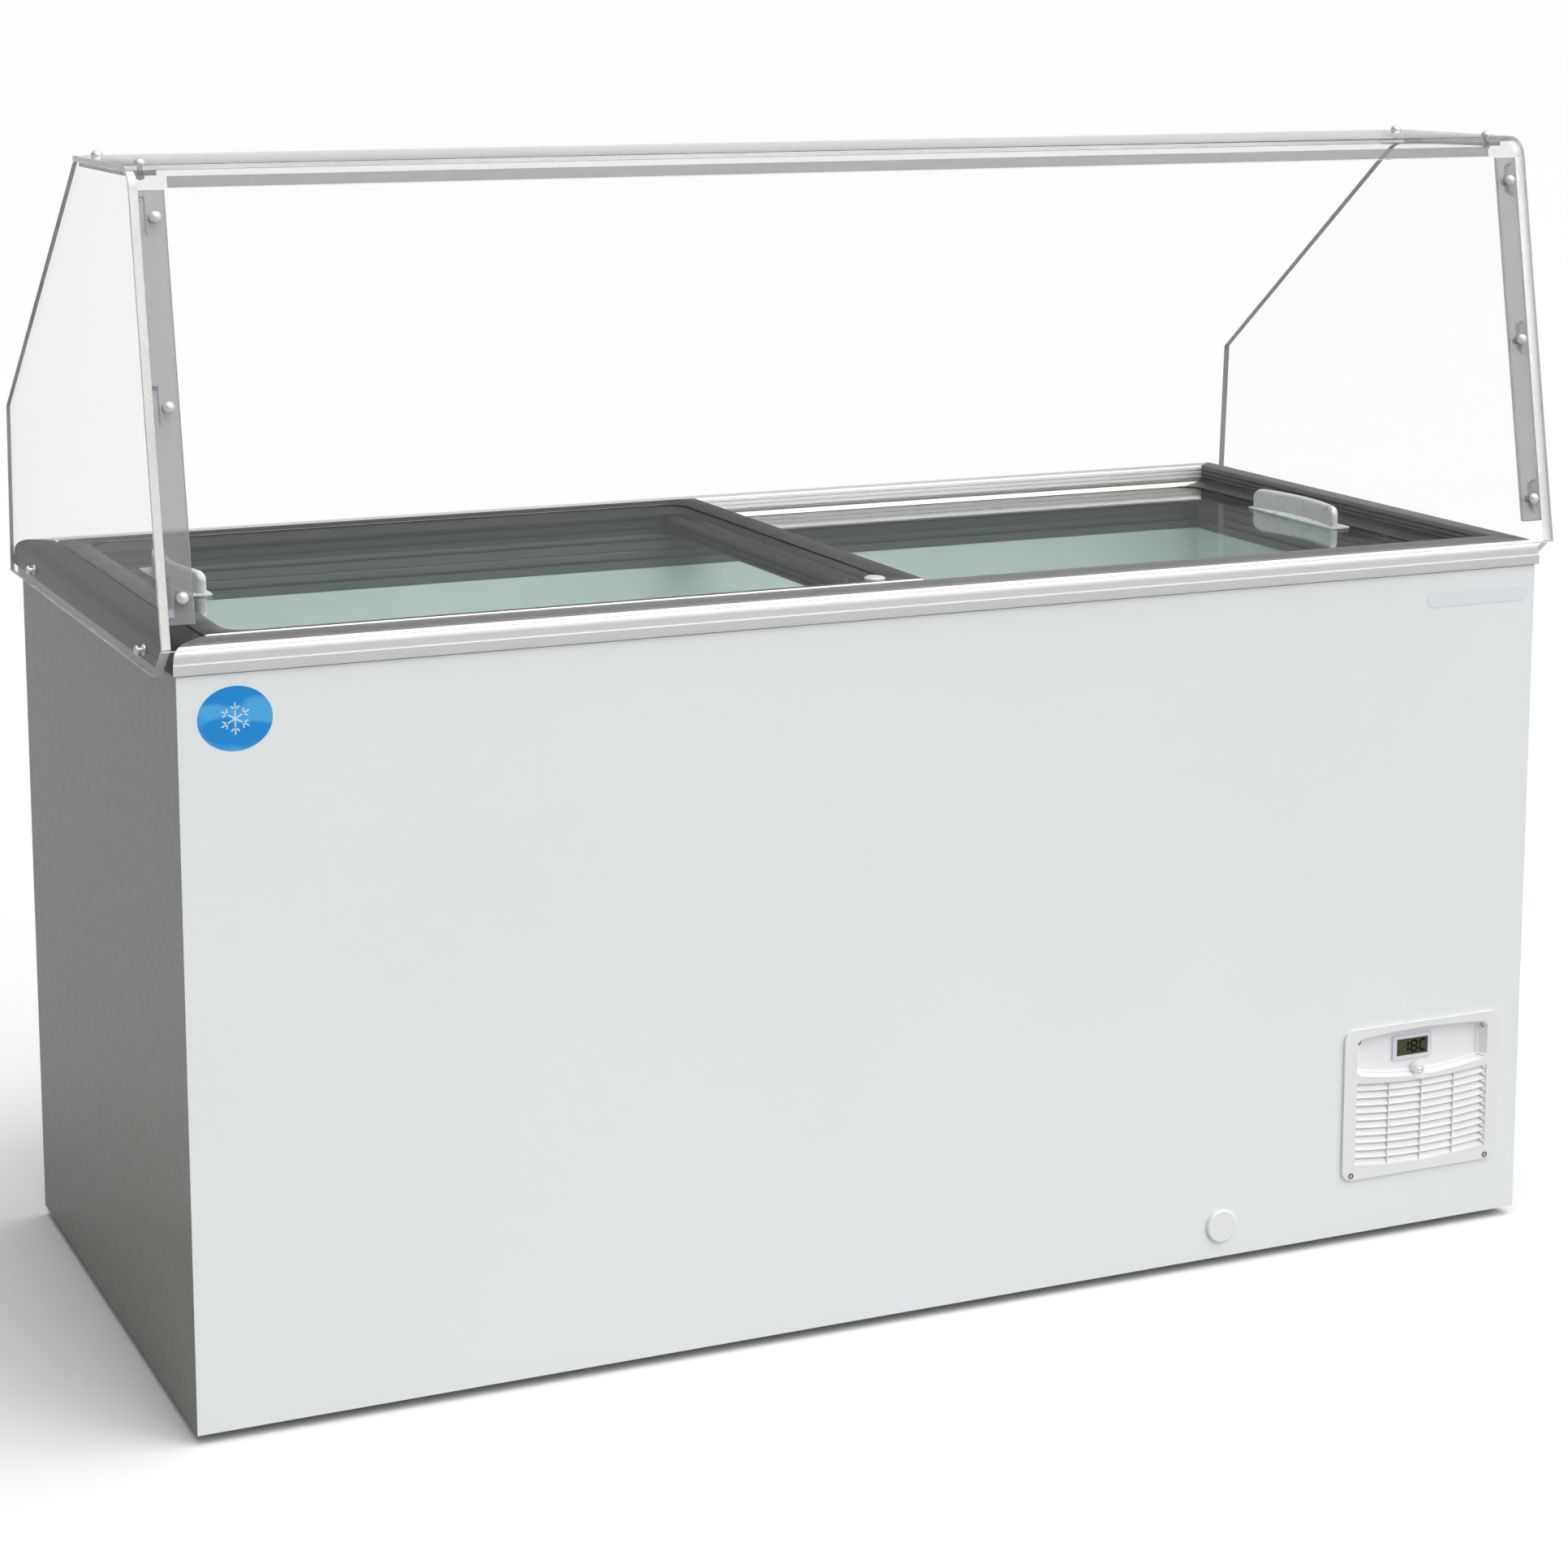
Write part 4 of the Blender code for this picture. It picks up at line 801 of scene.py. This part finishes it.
def front_point(z, inset):
    """Point of the sloping front, a distance inside its outer face."""
    y = SHEET_FRONT + FRONT_SLOPE * (z - SHEET_LOW)
    return (y + inset * math.hypot(1, FRONT_SLOPE), z)


def front_and_top(inset, low, rear):
    """The bent line of the front and the shelf: up the front, round the bend, back to the rear."""
    corner = front_point(SHEET_TOP - inset, inset)
    start = front_point(low, inset)
    end = (rear, SHEET_TOP - inset)
    return [start] + fillet(start, corner, end, BEND_RADIUS - inset) + [end]


def sheet_finish(normal, centre):
    """The bent sheet's material: its cut edges, the shelf, the bend, or the clear front."""
    low_edge = normal.z < -0.9 and centre.z < SHEET_LOW + 0.002
    rear_edge = normal.y > 0.9 and centre.y > SHELF_REAR - 0.002
    if abs(normal.x) > 0.9 or low_edge or rear_edge:
        return EDGE
    # The shelf and the bend take the greyer tints that are painted shade.
    if abs(normal.z) > 0.999:
        return SHELF
    return BEND if abs(normal.z) > 0.20 else CLEAR


def end_finish(normal, centre):
    """An end panel's material: clear sides, and cut edges that are darkened at the rear as painted shade.
    """
    if abs(normal.x) > 0.5:
        return CLEAR
    return EDGE_PAINTED_SHADE if normal.y > 0.3 else EDGE


def build_canopy(m):
    finishes = (m["acrylic"], m["acrylic_edge"], m["cut_edge_painted_shade"], m["shelf"], m["bend"])
    outer = front_and_top(0.0, SHEET_LOW, SHELF_REAR)
    inner = front_and_top(SHEET, SHEET_LOW, SHELF_REAR)
    piece(
        "canopy_bent_sheet",
        prism(outer + inner[::-1], X, -CANOPY_HALF_X, CANOPY_HALF_X),
        finishes,
        stands_for=("canopy_sheet",),
        smooth=20,
        pick=sheet_finish,
    )
    front = front_and_top(SHEET + GAP, SHEET_LOW + 0.0015, SHELF_REAR - 0.003)
    outline = front + [END_KNEE, (END_REAR, END_FOOT), (END_FRONT_FOOT, END_FOOT)]
    for side, sx in (("left", -1), ("right", 1)):
        piece(
            f"canopy_{side}_end_panel",
            prism(outline, X, *sorted((sx * END_INNER, sx * CANOPY_HALF_X))),
            finishes,
            stands_for=(f"canopy_{side}_end",),
            smooth=20,
            pick=end_finish,
        )
        # The strips take the grey tint that is painted shade.
        dress(side + "_corner_strip", m["strip_painted_shade"])
        dress(side + "_shelf_strip", m["strip_painted_shade"])
        bolts = [f"{side}_{level}_canopy_bolt" for level in ("lower", "middle", "upper")]
        bolts += [f"{side}_{place}_rail_screw" for place in ("front", "rear")]
        for name in bolts + [side + "_shelf_bolt"]:
            dress(name, m["bolt"], smooth=40)
    # The front strip takes the same grey tint, painted shade.
    dress("front_top_strip", m["strip_painted_shade"])


def build_rear_shelf_bolts(m):
    """The shelf's two rear bolts, with domes like the front ones."""
    for side in ("left", "right"):
        low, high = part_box(side + "_shelf_bolt")
        tall = high.z - SHEET_TOP - GAP
        radius = (high.x - low.x) / 2
        centre = ((low.x + high.x) / 2, SHELF_REAR - 0.0140, SHEET_TOP + GAP)
        profile = [(0.0, 0.0)] + [(radius * a, tall * b) for a, b in arc((0, 0), 1.0, 0, 90, 6)]
        dome = turned(profile, centre, Z, 24)
        piece(side + "_rear_shelf_bolt", dome, m["bolt"], smooth=40)


# ---------------------------------------------------------------- vent grille
VENT_LOW, VENT_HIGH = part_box("vent_grille")
VENT_FACE = VENT_LOW.y
VENT_DEEP = VENT_FACE + 0.0110  # back of the pocket and of the louvre opening
VENT_X0 = VENT_LOW.x + 0.0160  # sides of the pocket and of the louvre opening
VENT_X1 = VENT_HIGH.x - 0.0160
LOUVRE_LOW = VENT_LOW.z + 0.0160
LOUVRE_TOP = VENT_LOW.z + 0.1091
LOUVRE_DIP = 0.0050
LOUVRE_ROWS = 11
LOUVRE_PITCH = (LOUVRE_TOP - LOUVRE_LOW) / LOUVRE_ROWS
POCKET_LOW, POCKET_DIP = FLOOR_TO_CASING + 0.1805, 0.0092
POCKET_HIGH, POCKET_RISE = FLOOR_TO_CASING + 0.2205, 0.0045


def bowed(x, depth):
    """How far a bowed line across the opening swings from its ends."""
    t = 2 * (x - VENT_X0) / (VENT_X1 - VENT_X0) - 1
    return depth * (1 - t * t)


def bowed_outline(low, low_dip, high, high_rise):
    """Two bowed lines across the opening, closed at the sides. A negative rise dips."""
    steps = 20
    xs = [VENT_X0 + (VENT_X1 - VENT_X0) * k / steps for k in range(steps + 1)]
    return [(x, low - bowed(x, low_dip)) for x in xs] + [(x, high + bowed(x, high_rise)) for x in xs[::-1]]


def bowed_strip(x0, x1, section):
    """Carries a (depth, height) section along x, dipping like the louvres."""
    steps = 20
    rings = []
    for k in range(steps + 1):
        x = x0 + (x1 - x0) * k / steps
        rings.append([(x, y, z - bowed(x, LOUVRE_DIP)) for y, z in section])
    return skin(rings)


def tapered(outline, start, face, deep, draft):
    """A cutter along y. Its outline shrinks by the (sideways, upright) draft from the face to the end."""
    xs, zs = zip(*outline)
    centre = ((min(xs) + max(xs)) / 2, (min(zs) + max(zs)) / 2)
    half = ((max(xs) - min(xs)) / 2, (max(zs) - min(zs)) / 2)
    rings = []
    for y in (start, deep):
        share = (y - face) / (deep - face)
        wide, tall = [1 - share * draft[i] / half[i] for i in (0, 1)]
        rings.append([
            (centre[0] + (x - centre[0]) * wide, y, centre[1] + (z - centre[1]) * tall)
            for x, z in outline
        ])
    return skin(rings)


def build_vent_plate(m):
    """The plate with its rolled rim, the louvre opening and the arched pocket of the controls."""
    back = FRONT_FACE - GAP
    outline = rounded_rectangle(VENT_LOW.x, VENT_LOW.z, VENT_HIGH.x, VENT_HIGH.z, 0.0120, 10)
    plate = prism(outline, Y, VENT_FACE, back)
    rim = [e for e in plate.edges if all(v.co.y < VENT_FACE + 1e-6 for v in e.verts)]
    bmesh.ops.bevel(plate, geom=rim, offset=0.0028, segments=5, affect="EDGES")
    made = piece(
        "vent_grille_plate",
        plate,
        (m["plastic"], m["pocket"]),
        stands_for=("vent_grille",),
        smooth=0,
    )
    tray_side, tray_end, tray_floor = 0.009, 0.0065, 0.0020
    combine(
        made,
        box(
            (VENT_X0 - tray_side, back - 0.0008, VENT_LOW.z + tray_end),
            (VENT_X1 + tray_side, VENT_DEEP + tray_floor, VENT_HIGH.z - tray_end),
        ),
        "UNION",
    )
    opening = bowed_outline(LOUVRE_LOW, LOUVRE_DIP, LOUVRE_TOP, -LOUVRE_DIP)
    combine(made, prism(opening, Y, VENT_FACE - 0.01, VENT_DEEP - 0.0004))
    arch = bowed_outline(POCKET_LOW, POCKET_DIP, POCKET_HIGH, POCKET_RISE)
    cutter = tapered(arch, VENT_FACE - 0.005, VENT_FACE, VENT_DEEP, draft=(0.0065, 0.0020))
    combine(made, soften(cutter, 0.0026, segments=5, angle=40))
    for polygon in made.data.polygons:
        x, y, z = polygon.center
        across = VENT_LOW.x + 0.012 < x < VENT_HIGH.x - 0.012
        sunk = VENT_FACE + 0.0004 < y < VENT_DEEP + 0.0001
        if across and sunk and z > LOUVRE_TOP - LOUVRE_DIP + 0.0002:
            polygon.material_index = 1
    smooth_over(made.data, 40)
    flat = made.modifiers.new("flat_faces", "WEIGHTED_NORMAL")
    flat.keep_sharp = True


def build_louvres(m):
    """Bowed slats, three upright ribs and a small wedge at the right end of each slat."""
    tuck = 0.0004  # how far the slats run into the sides of the opening
    heel = VENT_DEEP - 0.0010
    slats = bmesh.new()
    for row in range(LOUVRE_ROWS):
        top = LOUVRE_TOP - row * LOUVRE_PITCH
        section = [
            (heel, top + 0.0006),
            (VENT_FACE + 0.0047, top + 0.0002),
            (VENT_FACE + 0.0016, top - LOUVRE_PITCH * 0.84),
            (VENT_FACE + 0.0009, top - LOUVRE_PITCH * 0.92),
            (VENT_FACE + 0.0012, top - LOUVRE_PITCH * 0.99),
            (VENT_FACE + 0.0024, top - LOUVRE_PITCH),
            (heel, top - LOUVRE_PITCH * 0.90),
        ]
        join(slats, bowed_strip(VENT_X0 - tuck, VENT_X1 + tuck, section))
    piece("vent_louvres", slats, m["plastic"], smooth=30)

    half_rib, over = 0.0006, 0.0005
    ribs = bmesh.new()
    for share in (0.25, 0.50, 0.75):
        x = VENT_X0 + (VENT_X1 - VENT_X0) * share
        dip = bowed(x, LOUVRE_DIP)
        rib = box(
            (x - half_rib, VENT_FACE + 0.0007, LOUVRE_LOW - dip - over),
            (x + half_rib, VENT_FACE + 0.0040, LOUVRE_TOP - dip + over),
        )
        join(ribs, soften(rib, 0.0003))
    for row in range(LOUVRE_ROWS):
        z = LOUVRE_TOP - row * LOUVRE_PITCH
        wedge = [
            (VENT_X1 - 0.0062, z - 0.0010),
            (VENT_X1 + tuck, z - 0.0004),
            (VENT_X1 + tuck, z - LOUVRE_PITCH * 0.80),
        ]
        join(ribs, prism(wedge, Y, VENT_FACE + 0.0008, VENT_FACE + 0.0070))
    piece("vent_ribs", ribs, m["plastic"], smooth=30)


def build_thermostat(m):
    """The round boss of the adjuster and the crescent below it."""
    low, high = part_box("thermostat_knob")
    middle = ((low.x + high.x) / 2, (low.z + high.z) / 2)
    bore = (high.x - low.x) / 2 + GAP
    wall = 0.0094
    profile = [(0.0, wall), (0.0, 0.0006), (0.0006, 0.0), (0.0018, 0.0004), (0.0024, wall)]
    rings = []
    for out, along in profile:
        circle = arc(middle, bore + out, 0, 360, 36)[:-1]
        rings.append([(x, VENT_FACE + along, z) for x, z in circle])
    boss = skin(rings, closed=True)
    piece("thermostat_boss", boss, m["pocket"], smooth=30)
    swell = arc(middle, bore + 0.0055, 200, 340, 24) + arc(middle, bore + 0.0042, 340, 200, 24)
    crescent = soften(prism(swell, Y, VENT_FACE - 0.0006, VENT_FACE + 0.0020), 0.0005)
    piece("thermostat_crescent", crescent, m["pocket"], smooth=30)
    dress("thermostat_knob", m["pocket"], bevel=0.0003)


def near(x, z, radius):
    """Gives 1 to the faces within a radius of a line along y, and 0 to the others."""
    return lambda normal, centre: 1 if math.hypot(centre.x - x, centre.z - z) < radius else 0


def build_grille_screws(m):
    """Recessed heads: two at the foot of the plate and two in the upper corners of the pocket."""
    recess = 0.0016
    head = [
        (0.0, 0.0),
        (0.0026, 0.0),
        (0.0031, -0.0003),
        (0.0031, -0.0009),
        (0.0022, -0.0011),
        (recess, -0.0004),
        (0.0, -0.0004),
    ]
    in_pocket = (VENT_FACE + 0.0048, POCKET_HIGH - 0.0042)
    places = (
        (VENT_LOW.x + 0.0112, VENT_FACE, VENT_LOW.z + 0.0054),
        (VENT_HIGH.x - 0.0150, VENT_FACE, VENT_LOW.z + 0.0050),
        (VENT_X1 - 0.0034, *in_pocket),
        (VENT_X0 + 0.0034, *in_pocket),
    )
    for i, (x, y, z) in enumerate(places):
        piece(
            f"grille_screw_{i + 1}",
            turned(head, (x, y, z), Y, 24),
            (m["dark_steel"], m["bolt"]),
            smooth=40,
            pick=near(x, z, recess),
        )


# ---------------------------------------------------------------- thermometer
SEGMENTS = {
    "top": ((0.0, 1.0), (1.0, 1.0)),
    "upper_right": ((1.0, 0.5), (1.0, 1.0)),
    "lower_right": ((1.0, 0.0), (1.0, 0.5)),
    "bottom": ((0.0, 0.0), (1.0, 0.0)),
    "lower_left": ((0.0, 0.0), (0.0, 0.5)),
    "upper_left": ((0.0, 0.5), (0.0, 1.0)),
    "middle": ((0.0, 0.5), (1.0, 0.5)),
}
READING = (
    ("upper_right", "lower_right"),
    tuple(SEGMENTS),
    ("top", "upper_left", "lower_left", "bottom"),
)


def segment(start, end, thick, y0, y1):
    """One bar of a digit, with pointed ends."""
    a, b = Vector(start), Vector(end)
    along = (b - a).normalized()
    across = Vector((-along.y, along.x)) * thick / 2
    a += along * thick * 0.10
    b -= along * thick * 0.10
    tip = along * thick / 2
    outline = [a, a + tip + across, b - tip + across, b, b - tip - across, a + tip - across]
    return prism([tuple(p) for p in outline], Y, y0, y1)


def build_gauge(m):
    """The thermometer with its reading. Digits lean a little and are set by shares of the screen."""
    dress("thermometer_bezel", m["bezel"], bevel=0.0003)
    dress("thermometer_screen", m["lcd"])
    low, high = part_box("thermometer_screen")
    screen_wide, screen_tall = high.x - low.x, high.z - low.z
    tall = screen_tall * 0.64
    wide = screen_wide * 0.185
    base = low.z + screen_tall * 0.18
    start = low.x + screen_wide * 0.18
    pitch = wide * 1.55
    lean = tall * 0.05
    thick = 0.0025
    digits = bmesh.new()
    for place, bars in enumerate(READING):
        left = start + place * pitch
        for bar in bars:
            ends = [(left + a * wide + b * lean, base + b * tall) for a, b in SEGMENTS[bar]]
            join(digits, segment(*ends, thick, low.y - 0.00012, low.y - 0.00002))
    piece("thermometer_digits", digits, m["digits"], smooth=0)


# ---------------------------------------------------------------- sticker, label and plug
STICKER_CENTRE = (-0.696, FLOOR_TO_CASING + 0.686)
STICKER_HALF = (0.0355, 0.0305)
CRYSTAL_FACE = FRONT_FACE - 0.00032
STICKER_FACE = FRONT_FACE - 0.00025
FILM_BACK = FRONT_FACE - 0.00004  # of the sticker and of the label


def build_sticker(m):
    """A plain oval sticker with a simple snow crystal of six forked arms."""
    outline = [
        (STICKER_CENTRE[0] + STICKER_HALF[0] * a, STICKER_CENTRE[1] + STICKER_HALF[1] * b)
        for a, b in arc((0, 0), 1.0, 0, 360, 72)[:-1]
    ]
    oval = prism(outline, Y, STICKER_FACE, FILM_BACK)
    piece("oval_sticker", oval, m["sticker"], smooth=30)
    middle = Vector(STICKER_CENTRE)
    arm, fork_at, fork, fork_lean = 0.0150, 0.0085, 0.0052, 0.9
    line = 0.0014
    crystal = bmesh.new()
    for k in range(6):
        turn = math.radians(30 + 60 * k)
        tip = Vector((math.cos(turn), math.sin(turn)))
        root = middle + tip * fork_at
        bars = [(middle, middle + tip * arm)]
        for lean in (-fork_lean, fork_lean):
            bars.append((root, root + Vector((math.cos(turn + lean), math.sin(turn + lean))) * fork))
        front = CRYSTAL_FACE - 0.00001 * k  # apart, so that no two arms share a face
        for a, b in bars:
            join(crystal, prism(thick_line(a, b, line), Y, front, STICKER_FACE + 0.00001))
    piece("sticker_crystal", crystal, m["sticker_print"], smooth=0)


def build_label(m):
    """A blank name label."""
    low, high = FLOOR_TO_CASING + 0.6905, FLOOR_TO_CASING + 0.7075
    outline = rounded_rectangle(0.612, low, 0.7420, high, 0.006)
    blank = soften(prism(outline, Y, FRONT_FACE - 0.0004, FILM_BACK), 0.00012, segments=1)
    piece("blank_label", blank, m["label"], smooth=30)


def build_plug(m):
    dress("drain_plug", m["plastic"], smooth=40, bevel=0.0004)


# ---------------------------------------------------------------- stage
RING = 0.14  # the room's brightness all round
HORIZON = 0.60  # what a pale horizon adds to it
OVERHEAD = 2.15  # the soft box above
OVERHEAD_AXIS = (0.34, -0.36, 0.87)
WORLD_SEEN = 0.99  # the backdrop, as the camera sees it
FLOOR_SEEN = 0.90
FLOOR_BOUNCING = 0.46  # the floor is darker as a source of bounced light


def combined(tree, operation, first, second):
    node = tree.nodes.new("ShaderNodeMath")
    node.operation = operation
    tree.links.new(first, node.inputs[0])
    tree.links.new(second, node.inputs[1])
    return node.outputs["Value"]


def bounces(tree):
    """How often the ray has bounced off a surface: nought when seen straight or through clear pieces."""
    path = tree.nodes.new("ShaderNodeLightPath")
    return combined(tree, "ADD", path.outputs["Diffuse Depth"], path.outputs["Glossy Depth"])


def band(tree, source, start, end, low, high):
    """Brightness running smoothly from low to high as the source goes from start to end."""
    node = tree.nodes.new("ShaderNodeMapRange")
    node.interpolation_type = "SMOOTHSTEP"
    node.inputs["From Min"].default_value = start
    node.inputs["From Max"].default_value = end
    node.inputs["To Min"].default_value = low
    node.inputs["To Max"].default_value = high
    tree.links.new(source, node.inputs["Value"])
    return node.outputs["Result"]


def towards(tree, axis):
    """The cosine of the angle between the ray and an axis."""
    where = tree.nodes.new("ShaderNodeTexCoord")
    product = tree.nodes.new("ShaderNodeVectorMath")
    product.operation = "DOT_PRODUCT"
    product.inputs[1].default_value = Vector(axis).normalized()
    tree.links.new(where.outputs["Generated"], product.inputs[0])
    return product.outputs["Value"]


def build_floor():
    bm = bmesh.new()
    bmesh.ops.create_circle(bm, cap_ends=True, segments=96, radius=60.0)
    mesh = bpy.data.meshes.new("studio_floor")
    bm.to_mesh(mesh)
    bm.free()
    floor = bpy.data.objects.new("studio_floor", mesh)
    bpy.context.scene.collection.objects.link(floor)
    mat = new_material("floor_white", grey(FLOOR_SEEN), 0.8)
    vary_colour(mat, bounces(mat.node_tree), grey(FLOOR_SEEN), grey(FLOOR_BOUNCING), (0.0, 1.0))
    mesh.materials.append(mat)


def build_world():
    """Even white to look at; as light, a big soft box overhead, a grey room and a pale horizon."""
    world = bpy.data.worlds.new("studio")
    bpy.context.scene.world = world
    world.use_nodes = True
    tree = world.node_tree
    to_box, to_zenith = towards(tree, OVERHEAD_AXIS), towards(tree, (0, 0, 1))
    overhead = band(tree, to_box, start=0.50, end=0.90, low=RING, high=OVERHEAD)
    horizon = band(tree, to_zenith, start=0.05, end=0.12, low=HORIZON, high=0.0)
    seen = tree.nodes.new("ShaderNodeMix")
    seen.inputs["A"].default_value = WORLD_SEEN
    tree.links.new(bounces(tree), seen.inputs["Factor"])
    tree.links.new(combined(tree, "ADD", overhead, horizon), seen.inputs["B"])
    background = tree.nodes["Background"]
    tree.links.new(seen.outputs["Result"], background.inputs["Strength"])
    background.inputs["Color"].default_value = (1.0, 1.0, 1.0, 1.0)


def build_light():
    """A broad key from the front right and a soft box over the lids, both without highlights."""
    sun = bpy.data.lights.new("key", "SUN")
    sun.energy = 0.55
    sun.angle = math.radians(60)
    key = bpy.data.objects.new("key", sun)
    key.rotation_euler = Vector((0.40, -0.70, 0.70)).to_track_quat("Z", "Y").to_euler()
    area = bpy.data.lights.new("top_box", "AREA")
    area.shape = "RECTANGLE"
    area.size = 1.6
    area.size_y = 0.5
    area.energy = 3.2
    area.spread = math.radians(75)
    top_box = bpy.data.objects.new("top_box", area)
    top_box.location = (0.0, -0.30, SHEET_TOP + 0.9)
    top_box.rotation_euler = (math.radians(14), 0.0, 0.0)
    for lamp in (key, top_box):
        lamp.visible_glossy = False
        bpy.context.scene.collection.objects.link(lamp)


def build_camera():
    """The photo's viewpoint, from a fit to the cabinet's corners."""
    place = (-1.4795, -3.3095, 1.3533)
    heading, dip = -24.182, 9.092
    data = bpy.data.cameras.new("camera")
    data.lens = 77.636
    data.sensor_width = 36.0
    data.shift_y = -0.16  # less than the fit gives, so that other views hold the whole cabinet
    camera = bpy.data.objects.new("camera", data)
    bpy.context.scene.collection.objects.link(camera)
    turn = Matrix.Rotation(math.radians(heading), 4, "Z")
    tilt = Matrix.Rotation(math.radians(90 - dip), 4, "X")
    camera.matrix_world = Matrix.Translation(place) @ turn @ tilt
    bpy.context.scene.camera = camera


def main():
    m = build_materials()
    build_casing(m)
    build_cover_screws(m)
    build_inside(m)
    build_lids(m)
    build_canopy(m)
    build_rear_shelf_bolts(m)
    build_vent_plate(m)
    build_louvres(m)
    build_thermostat(m)
    build_grille_screws(m)
    build_gauge(m)
    build_sticker(m)
    build_label(m)
    build_plug(m)
    build_floor()
    build_world()
    build_light()
    build_camera()
    bpy.context.scene.view_settings.view_transform = "Standard"


main()
